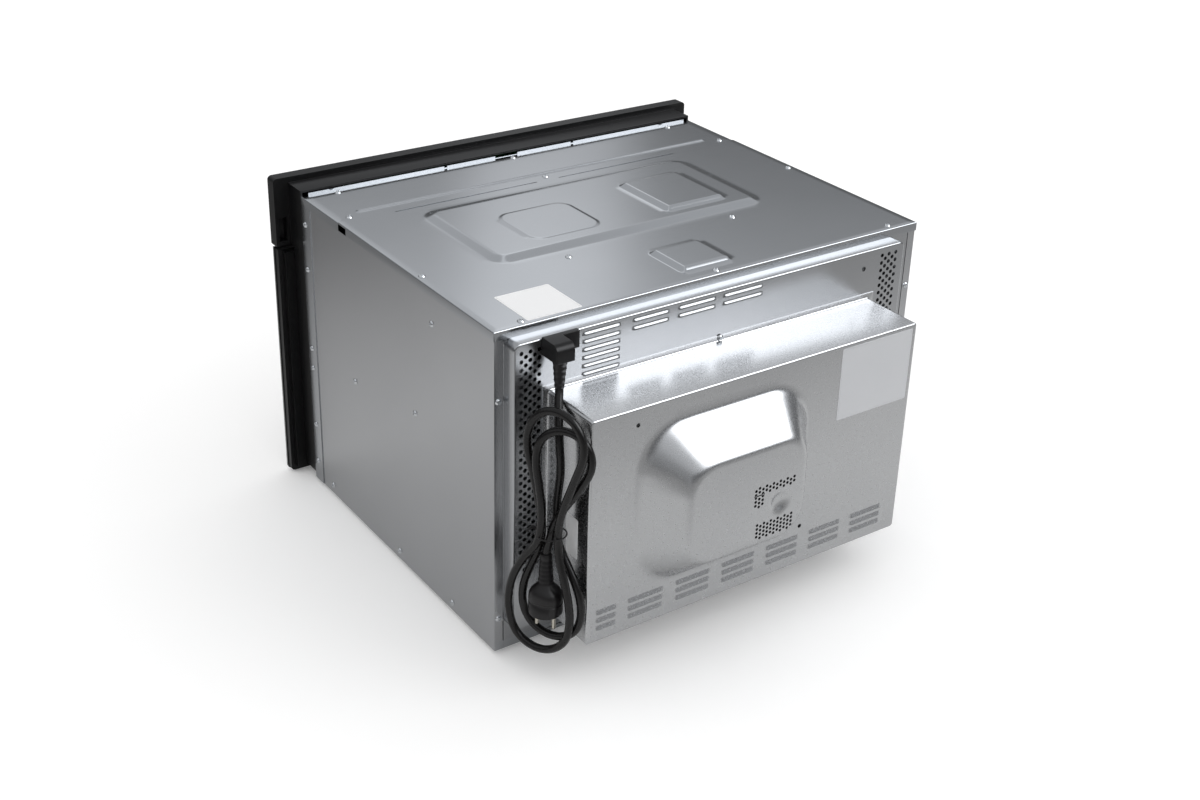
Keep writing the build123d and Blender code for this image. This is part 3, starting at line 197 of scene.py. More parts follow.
# Soft PVC cord jacket: nearly black, smooth with a waxy gloss and slight waves from extrusion.
pvcJacket = finish(
    "softPvcJacket", grain=(3, 3, 3), cloud=30, dark="080707", light="121111", rough=(0.2, 0.3), bump=0.15,
    depth=0.08, sockets={"IOR": 1.52, "Specular IOR Level": 0.32},
)
# Moulded PVC of the plug and clamp, a shade duller than the jacket.
mouldedPvc = finish(
    "mouldedBlackPvc", grain=(0.9, 0.9, 0.9), cloud=20, share=0.6, dark="0c0b0c", light="181617",
    rough=(0.3, 0.42), bump=0.15, sockets={"IOR": 1.52, "Specular IOR Level": 0.35},
)
# Vitreous enamel of the cavity: dark grey glass fused on steel, with a light orange peel.
darkEnamel = finish(
    "vitreousEnamel", grain=(3.5, 3.5, 3.5), cloud=60, share=0.4, dark="2a2b2e", light="37393c",
    rough=(0.12, 0.2), bump=0.12, depth=0.12,
    sockets={"IOR": 1.55, "Coat Weight": 0.5, "Coat Roughness": 0.08},
)
# Sheathed heater rod: nickel alloy, browned and slightly blue from heat.
heaterAlloy = finish(
    "oxidisedHeaterAlloy", grain=(6, 6, 6), cloud=45, share=0.3, dark="3d3733", light="5c5a60",
    rough=(0.36, 0.5),
)
# Zinc-passivated cans and laminated cores of motors and transformer.
motorCan = finish(
    "passivatedMotorSteel", grain=(0.9, 0.9, 14), cloud=30, share=0.6, dark="67686a", light="8c8d8f",
    rough=(0.34, 0.48), bump=0.15, depth=0.1,
)
# Natural rubber feet: matt, with a little dust.
naturalRubber = finish(
    "naturalRubber", grain=(1.6, 1.6, 1.6), cloud=12, dark="141414", light="232323", rough=(0.62, 0.75),
    bump=0.2, depth=0.1, sockets={"IOR": 1.52},
)
# Solder-masked glass-fibre board: green lacquer over a fine weave.
solderMask = finish(
    "solderMaskedBoard", grain=(1.2, 4, 1.2), cloud=9, dark="0b3a1d", light="175a2f", rough=(0.25, 0.4),
    sockets={"IOR": 1.55},
)
# Pressed mica sheet: silvery beige flakes.
micaSheet = finish(
    "pressedMica", grain=(5, 5, 5), cloud=18, share=0.6, dark="9b8f78", light="c9c0ac", rough=(0.3, 0.5),
    sockets={"IOR": 1.58, "Metallic": 0.2},
)
# Coated paper plate, left blank.
coatedPaper = finish(
    "coatedPaper", grain=(0.8, 0.8, 0.8), cloud=50, dark="e2e3e4", light="eeeeef", rough=(0.42, 0.52),
    bump=0.03, depth=0.02, sockets={"IOR": 1.5},
)
# Silvery polyester plate on the box, left blank.
silverFoil = finish(
    "mattSilverFoil", grain=(0.8, 0.8, 0.8), cloud=50, dark="bcbec1", light="c8c9cc", rough=(0.4, 0.5),
    bump=0.03, depth=0.02, sockets={"IOR": 1.5, "Metallic": 0.3},
)
# Nickel-plated brass pins.
nickelPlating = finish(
    "nickelPlatedBrass", grain=(0.6, 0.6, 6), cloud=8, dark="b5b0a4", light="cfcbc0", rough=(0.16, 0.26),
    bump=0.04, depth=0.02,
)
# Clear soda-lime glass of the inner pane and the tray.
clearGlass = finish(
    "sodaLimeGlass", grain=(40, 40, 40), cloud=200, share=0.3, dark="e8f0ee", light="f2f7f6",
    rough=(0.02, 0.04), bump=0.01, depth=0.02, sockets={"IOR": 1.52, "Transmission Weight": 1.0},
)

slotFinish = {
    "zinc_sheet": zincSheet, "steel": mildSteel, "enamel": darkEnamel, "bright_zinc": brightZinc,
    "black_glass": blackGlass, "clear_glass": clearGlass, "black_plastic": blackAbs,
    "brushed_aluminium": anodisedAluminium, "heater_steel": heaterAlloy, "motor_steel": motorCan,
    "circuit_board": solderMask, "mica": micaSheet, "rubber_feet": naturalRubber, "cord_rubber": pvcJacket,
}
nodeFinish = {"rear_cover": drawnZinc, "side_panel_left": sideZinc, "side_panel_right": sideZinc}


def dress(piece, material):
    piece.data.materials.clear()
    piece.data.materials.append(material)


for row in frame["record"]["subparts"]:
    dress(nodes[row["node"]], nodeFinish.get(row["node"], slotFinish[row["material_slot"]]))
print("materials:", len(bpy.data.materials))


def limits(node):
    # lowest and highest corner of a CAD node at rest, in mm
    low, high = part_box(node)
    return [value / mm for value in low], [value / mm for value in high]


def meshPiece(name, points, quads, material, smoothBelow=35):
    # A mesh from arrays of points in mm and quads, smooth where its faces meet at less than the angle.
    # Open edges, which only one face uses, are sharp.
    mesh = bpy.data.meshes.new(name)
    mesh.from_pydata((points.reshape(-1, 3) * mm).tolist(), [], quads.reshape(-1, 4).tolist())
    mesh.validate()
    mesh.shade_smooth()
    mesh.set_sharp_from_angle(angle=math.radians(smoothBelow))
    used = np.zeros(len(mesh.loops), np.int32)
    mesh.loops.foreach_get("edge_index", used)
    sharp = np.zeros(len(mesh.edges), bool)
    mesh.edges.foreach_get("use_edge_sharp", sharp)
    mesh.edges.foreach_set("use_edge_sharp", sharp | (np.bincount(used, minlength=len(sharp)) == 1))
    mesh.materials.append(material)
    return placed(name, mesh)


def joined(parts):
    # several (points, quads) as one pair
    points, quads, start = [], [], 0
    for partPoints, partQuads in parts:
        flat = partPoints.reshape(-1, 3)
        points.append(flat)
        quads.append(partQuads.reshape(-1, 4) + start)
        start += len(flat)
    return np.concatenate(points), np.concatenate(quads)


def gridQuads(rows, columns, wrap=False):
    # the quads of a grid of points: each joins four neighbours; wrap joins the last column to the first
    index = np.arange(rows * columns).reshape(rows, columns)
    if wrap:
        index = np.concatenate([index, index[:, :1]], axis=1)
    return np.stack([index[:-1, :-1], index[:-1, 1:], index[1:, 1:], index[1:, :-1]], axis=-1).reshape(-1, 4)


def wrapped(points):
    # rings of points, each joined to the next
    return points, gridQuads(points.shape[0], points.shape[1], True)


def gridLines(keys, step, fineSpans=(), fineStep=1.5):
    # Lines of a grid that pass through every key. The stretch between two keys is divided evenly,
    # more closely inside the fine spans.
    keys = sorted(set(keys) | {edge for span in fineSpans for edge in span})
    found = [keys[0]]
    for low, high in zip(keys, keys[1:]):
        fine = any(a < (low + high) / 2 < b for a, b in fineSpans)
        pieces = max(1, math.ceil((high - low) / (fineStep if fine else step)))
        found += list(np.linspace(low, high, pieces + 1)[1:])
    return np.array(found)


def windowEdges(windows, first):
    # the grid lines that windows begin and end on: first is 0 for those along x, 2 for the others
    return [edge for window in windows for edge in window[first:first + 2]]


def openings(alongRows, alongColumns, windows):
    # which quads of a grid lie in one of the windows (low, high in the columns' way, low, high in the rows')
    a = (alongColumns[1:] + alongColumns[:-1]) / 2
    b = (alongRows[1:] + alongRows[:-1]) / 2
    cut = np.zeros((len(b), len(a)), bool)
    for a0, a1, b0, b1 in windows:
        cut |= np.outer((b > b0) & (b < b1), (a > a0) & (a < a1))
    return cut.reshape(-1)


def depthInside(x, y, outline, corner):
    # How deep a point lies inside a rectangle with rounded corners; negative outside. The distance to the
    # rectangle drawn in by the radius is measured first, and the radius is then given back.
    x0, x1, y0, y1 = outline
    dx = np.abs(x - (x0 + x1) / 2) - (x1 - x0) / 2 + corner
    dy = np.abs(y - (y0 + y1) / 2) - (y1 - y0) / 2 + corner
    return corner - np.hypot(np.maximum(dx, 0), np.maximum(dy, 0)) - np.minimum(np.maximum(dx, dy), 0)


def ease(t, soft):
    # From 0 to 1 along a straight slope with rounded ends, each of which takes the share soft of the way:
    # t squared over twice soft, then t less half of soft, then the start's mirror image, all over 1 - soft.
    t = np.clip(t, 0, 1)
    slope = np.where(t < soft, t ** 2 / (2 * soft), t - soft / 2)
    slope = np.where(t > 1 - soft, 1 - soft - (1 - t) ** 2 / (2 * soft), slope)
    return slope / (1 - soft)


def roundedLoop(outline, corner, steps=8):
    # points round a rectangle with rounded corners: each corner is a quarter circle round its own centre
    x0, x1, z0, z1 = outline
    t = np.linspace(0, math.pi / 2, steps)
    corners = []
    for turn, (x, z) in enumerate(((x1 - corner, z1 - corner), (x0 + corner, z1 - corner),
                                   (x0 + corner, z0 + corner), (x1 - corner, z0 + corner))):
        angle = t + turn * math.pi / 2
        corners.append(np.stack([x + corner * np.cos(angle), z + corner * np.sin(angle)], axis=1))
    return np.concatenate(corners)


def drawn(outline, inset):
    x0, x1, z0, z1 = outline
    return x0 + inset, x1 - inset, z0 + inset, z1 - inset


# Points on a quarter-round bend, how far in from it its flat begins, as a share of the bend's radius, and
# the room in mm between that flat and a grid's corner
bendSteps = 5
flatFrom = 1.3
cornerRoom = 0.1


def flatInset(corner, bend):
    # how far in from a rounded outline a square-cornered grid fits inside the flat that the bend leaves
    return max(corner - (corner - flatFrom * bend) / math.sqrt(2), flatFrom * bend) + cornerRoom


def pressedWall(outline, corner, face, root, bend, rim):
    # The skirt round a pressing that faces +Y: loops run from the flat face over a quarter-round bend,
    # straight back to the root, round the root's own bend and out to the rim.
    # Each loop is (how far it is drawn in, its depth y); the first is square, to meet the face's grid.
    t = np.linspace(0, math.pi / 2, bendSteps)
    steps = [(flatFrom * bend, face)]
    steps += [(bend * (1 - math.sin(a)), face - bend * (1 - math.cos(a))) for a in t]
    steps += [(-bend * (1 - math.cos(a)), root + bend * (1 - math.sin(a))) for a in t]
    loops = [(roundedLoop(drawn(outline, flatInset(corner, bend)), 0), face)]
    loops += [(roundedLoop(drawn(outline, inset), corner - inset), y) for inset, y in steps]
    loops.append((roundedLoop(rim, 0), root))
    rings = [np.stack([loop[:, 0], np.full(len(loop), y), loop[:, 1]], axis=1) for loop, y in loops]
    return wrapped(np.array(rings))


def rearPatch(x, z, height, windows=()):
    # a grid that faces +Y over lines x and z, at the depth that the height function gives, less its windows
    across, upward = np.meshgrid(x, z)
    points = np.stack([across, height(across, upward), upward], axis=-1)
    quads = gridQuads(len(z), len(x))[~openings(z, x, windows)]
    return points, quads[:, ::-1]


def punchedTiles(holes, plain, size, radius, height):
    # Square tiles at the places in holes, each with a round hole: twelve points on the tile's edge are
    # joined to twelve on the circle. A point on the edge is the circle's, divided by its larger coordinate.
    # The places in plain (x, z, width, height) are filled with whole tiles. All face +Y.
    count = 12
    t = math.radians(45) + np.arange(count) * 2 * math.pi / count
    circle = np.stack([np.cos(t), np.sin(t)], axis=1)
    edge = circle / np.abs(circle).max(axis=1, keepdims=True) * np.array(size) / 2
    index = np.arange(count)
    after = (index + 1) % count
    ring = np.stack([index, index + count, after + count, after], axis=1)
    parts = []
    for x, z in holes:
        flat = np.concatenate([edge, radius * circle]) + (x, z)
        parts.append((np.stack([flat[:, 0], height(flat[:, 0], flat[:, 1]), flat[:, 1]], axis=1), ring))
    for x, z, width, tall in plain:
        flat = np.array([(-1, -1), (-1, 1), (1, 1), (1, -1)]) * (width / 2, tall / 2) + (x, z)
        points = np.stack([flat[:, 0], height(flat[:, 0], flat[:, 1]), flat[:, 1]], axis=1)
        parts.append((points, np.array([[0, 1, 2, 3]])))
    return joined(parts)


def staggered(x0, top, columns, rows, size):
    # Places of staggered holes: every other column hangs half a tile lower. Half tiles fill the ends.
    width, tall = size
    holes, plain = [], []
    for column in range(columns):
        x = x0 + width * column
        drop = tall / 2 * (column % 2)
        holes += [(x, top - drop - tall * row) for row in range(rows)]
        end = top if column % 2 else top - tall * rows
        plain.append((x, end + tall / 4, width, tall / 2))
    return holes, plain


def hoods(spots, height, look):
    # Lanced louvres that face +Y, as (x0, x1, z), and their windows. v goes from 0 at the open lip to 1 at
    # the root, and the sheet swells by rise * (1 - w). By roundness, w lies between v and v squared *
    # (3 - 2 v). The ends are quarter circles, whose lines close up towards the tips.
    tall = look["louvreTall"]
    parts = []
    for x0, x1, z in spots:
        u = np.linspace(0, 1, 7) ** 1.6 * tall
        x = np.concatenate([x0 + u, x1 - u[::-1]])
        v = np.linspace(0, 1, 6)
        across, upward = np.meshgrid(x, v)
        reach = np.clip(np.minimum(across - x0, x1 - across) / tall, 0, 1)
        along = upward + look["louvreRoundness"] * (upward ** 2 * (3 - 2 * upward) - upward)
        swell = look["louvreRise"] * np.sqrt(1 - (1 - reach) ** 2) * (1 - along)
        points = np.stack([across, height(across, z + upward * tall) + swell, z + upward * tall], axis=-1)
        parts.append((points, gridQuads(len(v), len(x))[:, ::-1]))
    return parts, [(x0, x1, z, z + tall) for x0, x1, z in spots]


def sheetMetal(piece, thickness):
    # gives a pressed skin the thickness of its sheet, inwards
    solid = piece.modifiers.new("sheet", "SOLIDIFY")
    solid.thickness = thickness * mm
    solid.offset = -1
    return piece


def turned(profile, start, axis, side, sides, flatten=None):
    # A lathe form: each (radius, height) of the profile becomes a ring round the axis.
    # point = start + height * axis + radius * (cos t * side + sin t * third), t from 0 to a full turn.
    profile = np.array(profile, float)
    axis = np.array(axis, float) / np.linalg.norm(axis)
    side = np.array(side, float) / np.linalg.norm(side)
    third = np.cross(axis, side)
    t = np.linspace(0, 2 * math.pi, sides, endpoint=False)
    reach = profile[:, :1] * np.ones_like(t)
    if flatten is not None:
        reach = reach * flatten(t, profile[:, 1:2])
    return (
        np.array(start)
        + profile[:, 1:2, None] * axis
        + (reach * np.cos(t))[..., None] * side
        + (reach * np.sin(t))[..., None] * third
    )


def swept(path, radii, side, sides=20):
    # A round sleeve along a path: at each point the tangent, and two directions square to it, carry a ring.
    tangent = np.gradient(path, axis=0)
    tangent /= np.linalg.norm(tangent, axis=1, keepdims=True)
    across = np.cross(tangent, np.array(side, float))
    across /= np.linalg.norm(across, axis=1, keepdims=True)
    third = np.cross(tangent, across)
    t = np.linspace(0, 2 * math.pi, sides, endpoint=False)
    ring = np.cos(t)[:, None] * across[:, None, :] + np.sin(t)[:, None] * third[:, None, :]
    return path[:, None, :] + np.array(radii, float)[:, None, None] * ring


# The cabinet's own lines, read from the CAD nodes
sideLow = limits("side_panel_right")[0]
frontY, bottomZ = sideLow[1], sideLow[2]
lidLow, lidHigh = limits("top_cover")
halfWidth = lidHigh[0]
foldHeight = 10
lidZ = lidLow[2] + foldHeight
stripZ = limits("top_front_strip")[0][2] + foldHeight

# Sizes of the lid: y from the front edge; steps, ends and fine zones are those of the grids.
lidLook = {
    "seam": 94.5, "bend": 1.2, "sheet": 1.0, "step": 8, "soft": 0.35, "underlap": 18, "stripStep": 10,
    "pressings": [
        {"outline": (-175, 195, 117, 290), "corner": 24, "border": 15, "rise": 4},
        {"outline": (-135, -46, 164, 265), "corner": 9, "border": 8, "rise": 4},
        {"outline": (-32, 38, 340, 405), "corner": 8, "border": 7, "rise": 4},
        {"outline": (35, 128, 175, 260), "corner": 18, "border": 2, "rise": 0.5},
    ],
    "grooves": [(22, 210, 98, 99.6), (-179, -9, 98, 99.6)],
    "tabs": (262, 3, -261), "tabHalf": (14, 5), "tabReach": 11,
    "bead": {
        "y": 75, "half": 243, "radius": 3.6, "rise": 2, "soft": 0.45,
        "ends": (5, 1), "endStep": 1, "fine": 4.4, "fineStep": 0.8,
    },
    "lip": {
        "half": 270, "height": 2.8, "step": 40, "notches": (89.5, -93), "notchHalf": 2, "notchFloor": 1,
        "gap": (-12, 20), "gapFloor": 0.6,
    },
}


def folded(lines, bend, drop):
    # carries the end of a row of grid lines round a bend and down: returns their places and drops
    t = np.linspace(0, math.pi / 2, bendSteps)[1:]
    places = np.concatenate([lines, lines[-1] + bend * np.sin(t), [lines[-1] + bend]])
    return places, np.concatenate([np.zeros(len(lines)), bend * (1 - np.cos(t)), [drop]])


def foldedSheet(x, y, level, height, bend, windows, foldRear):
    # A lid: flat lines x and y in the middle, both sides and on demand the rear folded down. The sheet lies
    # at level + height(x, y) less the larger drop of the two ways, which closes the corners.
    right, dropRight = folded(x, bend, foldHeight)
    left, dropLeft = folded(-x[::-1], bend, foldHeight)
    x, dropX = [np.concatenate(pair) for pair in (
        (-left[len(x):][::-1], right), (dropLeft[len(x):][::-1], dropRight),
    )]
    dropY = np.zeros(len(y))
    if foldRear:
        y, dropY = folded(y, bend, foldHeight)
    across, along = np.meshgrid(x, y)
    drop = np.maximum(*np.meshgrid(dropX, dropY))
    points = np.stack([across, along, level + height(across, along) - drop], axis=-1)
    cut = openings(y, x, windows).reshape(len(y) - 1, len(x) - 1)
    if foldRear:
        cut[-1, 0] = cut[-1, -1] = True
    return points, gridQuads(len(y), len(x))[~cut.reshape(-1)]


def lidHeight(x, y):
    # the pressings' heights added up, each eased over its border's width
    height = np.zeros_like(x)
    for pad in lidLook["pressings"]:
        depth = depthInside(x, y - frontY, pad["outline"], pad["corner"])
        height = height + pad["rise"] * ease(depth / pad["border"], lidLook["soft"])
    return height


def lidTab(x, seamY):
    # a tongue that narrows from its root at the seam to its tip, with its screw on it
    wide, narrow = lidLook["tabHalf"]
    u, v = np.meshgrid(np.linspace(-1, 1, 5), np.linspace(1, 0, 4))
    across = x + u * (wide + (narrow - wide) * v)
    points = np.stack([across, seamY - lidLook["tabReach"] * v, np.full_like(u, lidZ)], axis=-1)
    return points, gridQuads(*u.shape)


def pressedLid():
    look = lidLook
    seamY = frontY + look["seam"]
    spansX, spansY = [], []
    for pad in look["pressings"]:
        x0, x1, y0, y1 = pad["outline"]
        reach = max(pad["corner"], pad["border"]) + 1
        spansX += [(x0, x0 + reach), (x1 - reach, x1)]
        spansY += [(frontY + y0, frontY + y0 + reach), (frontY + y1 - reach, frontY + y1)]
    windows = [(x0, x1, frontY + y0, frontY + y1) for x0, x1, y0, y1 in look["grooves"]]
    flat = halfWidth - look["bend"]
    x = gridLines([-flat, flat] + windowEdges(windows, 0), look["step"], spansX)
    y = gridLines([seamY, lidHigh[1] - look["bend"]] + windowEdges(windows, 2), look["step"], spansY)
    parts = [foldedSheet(x, y, lidZ, lidHeight, look["bend"], windows, True)]
    parts += [lidTab(spot, seamY) for spot in look["tabs"]]
    return sheetMetal(meshPiece("pressed_lid", *joined(parts), zincSheet), look["sheet"])


def stripHeight(x, y):
    # a bead across the strip: its rise eased over the distance from the bead's middle line to its edge
    bead = lidLook["bead"]
    away = np.hypot(np.maximum(np.abs(x) - bead["half"], 0), y - frontY - bead["y"])
    return bead["rise"] * ease(1 - away / bead["radius"], bead["soft"])


def frontStrip():
    # front part of the lid with its bead, and the notched lip along its front edge
    look = lidLook
    bead, lip = look["bead"], look["lip"]
    flat = halfWidth - look["bend"]
    outer, inner = bead["ends"]
    spansX = [(-bead["half"] - outer, -bead["half"] + inner), (bead["half"] - inner, bead["half"] + outer)]
    beadY = frontY + bead["y"]
    spansY = [(beadY - bead["fine"], beadY + bead["fine"])]
    rear = frontY + look["seam"] + look["underlap"]
    x = gridLines([-flat, flat], look["stripStep"], spansX, bead["endStep"])
    y = gridLines([frontY, rear], look["stripStep"], spansY, bead["fineStep"])
    sheet = foldedSheet(x, y, stripZ, stripHeight, look["bend"], [], False)
    lipZ = stripZ + lip["height"]
    half = lip["notchHalf"]
    windows = [(spot - half, spot + half, stripZ + lip["notchFloor"], lipZ) for spot in lip["notches"]]
    windows.append((*lip["gap"], stripZ + lip["gapFloor"], lipZ))
    x = gridLines([-lip["half"], lip["half"]] + windowEdges(windows, 0), lip["step"])
    z = np.array([stripZ, stripZ + lip["gapFloor"], stripZ + lip["notchFloor"], lipZ])
    upright = rearPatch(x, z, lambda a, b: np.full_like(a, frontY + look["sheet"]), windows)
    return sheetMetal(meshPiece("lid_front_strip", *joined([sheet, upright]), zincSheet), look["sheet"])


# Sizes of the rear wall and, below, of the rear box: z from the cabinet's bottom edge. Fields are
# (x of the first column, top, columns, rows) and the pan's louvres (x0, x1, rows).
panLook = {
    "outline": (-246, 267, 31, 362), "corner": 8, "bend": 2.0, "sheet": 1.0, "depth": 19, "step": 40,
    "cadLouvreRise": 2.6, "edge": 1, "lidGap": 2, "motorGap": 8,
    "hole": 2.3, "tile": (5.15, 9), "fields": [(237.8, 351.5, 5, 28), (-233, 351.5, 5, 17)],
    "loneHole": 2.9, "loneTile": 10, "loneHoles": [(-186, 341)],
    "louvreTop": 353.1, "louvrePitch": 8.9, "louvreTall": 4.5, "louvreRise": 1.8, "louvreRoundness": 1,
    "louvres": [(142, 188, 6), (82, 128, 2), (22, 71, 2), (-41, 12.6, 2)],
}


def raisedBy(outline):
    x0, x1, z0, z1 = outline
    return x0, x1, z0 + bottomZ, z1 + bottomZ


def punchedFields(look, height):
    # fields of staggered round holes and the windows that they fill
    width, tall = look["tile"]
    parts, windows = [], []
    for x0, top, columns, rows in look["fields"]:
        top += bottomZ
        holes, plain = staggered(x0, top, columns, rows, look["tile"])
        parts.append(punchedTiles(holes, plain, look["tile"], look["hole"], height))
        windows.append((x0 - width / 2, x0 + width * (columns - 0.5), top - tall * rows, top + tall / 2))
    return parts, windows


def loneHoles(look, height):
    # single round holes, each in a square tile of its own, and the windows that they fill
    size = look["loneTile"]
    parts, windows = [], []
    for x, z in look["loneHoles"]:
        z += bottomZ
        parts.append(punchedTiles([(x, z)], [], (size, size), look["loneHole"], height))
        windows.append((x - size / 2, x + size / 2, z - size / 2, z + size / 2))
    return parts, windows


def drawnSkin(name, look, height, levels, rim, filled, material, fine=((), ())):
    # A pressing in sheet that faces +Y: what fills its windows, given as pairs of parts and windows, its
    # flat less the windows, and the wall round it from the face's level to the root's, out to the rim.
    outline = raisedBy(look["outline"])
    flat = drawn(outline, flatInset(look["corner"], look["bend"]))
    parts = [part for found, _ in filled for part in found]
    windows = [window for _, found in filled for window in found]
    x = gridLines(list(flat[:2]) + windowEdges(windows, 0), look["step"], *fine[0])
    z = gridLines(list(flat[2:]) + windowEdges(windows, 2), look["step"], *fine[1])
    parts.append(rearPatch(x, z, height, windows))
    parts.append(pressedWall(outline, look["corner"], *levels, look["bend"], rim))
    return sheetMetal(meshPiece(name, *joined(parts), material), look["sheet"])


def rearWall():
    # The rear wall's flat border and the pan drawn out of it, with punched fields and louvres.
    look = panLook
    face = limits("rear_panel")[1][1] - look["cadLouvreRise"]
    edge, gap = look["edge"], look["motorGap"]
    border = (sideLow[0] - edge, edge - sideLow[0], bottomZ + edge, lidZ - look["lidGap"])
    low, high = limits("convection_motor")
    motorWindow = (low[0] - gap, high[0] + gap, low[2] - gap, high[2] + gap)
    spots = [
        (x0, x1, bottomZ + look["louvreTop"] - look["louvrePitch"] * row)
        for x0, x1, rows in look["louvres"] for row in range(rows)
    ]

    def level(x, z):
        return np.full_like(x, face)

    filled = [punchedFields(look, level), hoods(spots, level, look), loneHoles(look, level)]
    filled.append(([], [motorWindow]))
    return drawnSkin("rear_wall", look, level, (face, face - look["depth"]), border, filled, rearZinc)


boxLook = {
    "outline": (-198, 228, 46, 304), "corner": 4, "bend": 2.2, "sheet": 1.0, "flange": 6, "depth": 77,
    "foot": (-51, 175, 90, 281), "footCorner": 56, "crest": (-15, 128, 128, 234), "crestCorner": 30,
    "rise": 38, "soft": 0.2, "step": 12, "fineStep": 2.6,
    "dish": {"x": 15, "z": 167, "radius": 17, "border": 15, "depth": 4, "soft": 0.45},
    "hole": 1.7, "tile": (4.6, 4.7), "fields": [(-2.3, 192.5, 12, 2), (39, 182, 3, 3), (-2.3, 148, 11, 4)],
    "loneHole": 2.4, "loneTile": 8, "loneHoles": [(173, 285), (-52, 95)],
    "louvres": [(190, 218)] + [(131 - 61 * step, 178.5 - 61 * step) for step in range(6)],
    "louvreRows": (80, 70.5, 61), "louvreTall": 4.8, "louvreRise": 1.9, "louvreRoundness": 0.15,
}


def boxHeight(x, z):
    # The box's rear face at its depth, the dome on it and the dish in the dome. On the dome's flank
    # t = way in from the foot / (way in from the foot + way still to go to the crest), eased at both ends.
    look = boxLook
    footIn = np.maximum(depthInside(x, z - bottomZ, look["foot"], look["footCorner"]), 0)
    crestOut = np.maximum(-depthInside(x, z - bottomZ, look["crest"], look["crestCorner"]), 0)
    dome = look["rise"] * ease(footIn / np.maximum(footIn + crestOut, 1e-6), look["soft"])
    dish = look["dish"]
    away = np.hypot(x - dish["x"], z - bottomZ - dish["z"])
    return boxFace + dome - dish["depth"] * ease((dish["radius"] - away) / dish["border"], dish["soft"])


def rearBox():
    # The drawn box over the hot-air motor: dome, dish, fine punchings, louvres in its face and a flange.
    look = boxLook
    root = boxFace - look["depth"] + look["sheet"]
    flange = drawn(raisedBy(look["outline"]), -look["flange"])
    spots = [(x0, x1, bottomZ + z) for x0, x1 in look["louvres"] for z in look["louvreRows"]]
    filled = [punchedFields(look, boxHeight), loneHoles(look, boxHeight), hoods(spots, boxHeight, look)]
    foot = raisedBy(look["foot"])
    fine = [([span], look["fineStep"]) for span in (foot[:2], foot[2:])]
    return drawnSkin("rear_box", look, boxHeight, (boxFace, root), flange, filled, drawnZinc, fine)


boxFace = limits("rear_cover")[1][1] - boxLook["rise"]


def screwHeads():
    # Pan heads where the CAD has its screws, found as clusters of that node's corners, which lie closer
    # together than the screws do. Each is turned a little more than the one before. A head's height is
    # rise * (1 - (r / radius)^4), less the recess where both a cross arm and its reach include the point.
    look = {
        "radius": 3.8, "rise": 2.0, "recess": 0.9, "arm": 0.5, "reach": 2.3, "rings": 11, "sides": 40,
        "centre": 0.01, "apart": 9, "turn": 0.7,
    }
    clusters = []
    for vertex in nodes["cover_screws"].data.vertices:
        spot = vertex.co / mm
        near = next((found for found in clusters if (found[0] - spot).length < look["apart"]), None)
        if near is None:
            clusters.append([spot])
        else:
            near.append(spot)
    r = np.linspace(look["radius"], look["centre"], look["rings"])[:, None]
    t = np.linspace(0, 2 * math.pi, look["sides"], endpoint=False)[None, :]
    x, y = r * np.cos(t), r * np.sin(t)
    height = look["rise"] * (1 - (r / look["radius"]) ** 4) + 0 * t
    height = height - look["recess"] * ((np.minimum(abs(x), abs(y)) < look["arm"]) & (r < look["reach"]))
    heads = []
    for number, cluster in enumerate(clusters):
        corners = np.array(cluster)
        low, high = corners.min(axis=0), corners.max(axis=0)
        axis = int(np.argmin(high - low))
        middle = (low + high) / 2
        outward = np.sign(middle[axis]) if axis < 2 else 1
        normal, first = np.zeros(3), np.zeros(3)
        normal[axis] = outward
        first[(axis + 1) % 3] = 1
        second = np.cross(normal, first)
        middle[axis] = low[axis] if outward > 0 else high[axis]
        turn = number * look["turn"]
        across = x * math.cos(turn) - y * math.sin(turn)
        upward = x * math.sin(turn) + y * math.cos(turn)
        flat = middle + across[..., None] * first + upward[..., None] * second
        heads.append(wrapped(flat + height[..., None] * normal))
    return meshPiece("screw_heads", *joined(heads), brightZinc, 40)


def softened(node, width):
    # a copy of a CAD piece with its loose triangles merged, its flats made whole and its edges rounded;
    # the angles are in degrees
    look = {"merge": 0.01, "flatBelow": 1, "smoothBelow": 35, "roundAbove": 40}
    mesh = nodes[node].data.copy()
    work = bmesh.new()
    work.from_mesh(mesh)
    bmesh.ops.remove_doubles(work, verts=work.verts, dist=look["merge"] * mm)
    flat = math.radians(look["flatBelow"])
    bmesh.ops.dissolve_limit(work, angle_limit=flat, verts=work.verts, edges=work.edges)
    work.to_mesh(mesh)
    work.free()
    mesh.shade_smooth()
    mesh.set_sharp_from_angle(angle=math.radians(look["smoothBelow"]))
    piece = placed(node + "_rounded", mesh)
    edge = piece.modifiers.new("edge", "BEVEL")
    edge.width = width * mm
    edge.segments = 2
    edge.limit_method = "ANGLE"
    edge.angle_limit = math.radians(look["roundAbove"])
    edge.harden_normals = True
    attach(piece, nodes[node]["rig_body"])
    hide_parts(node)
    return piece


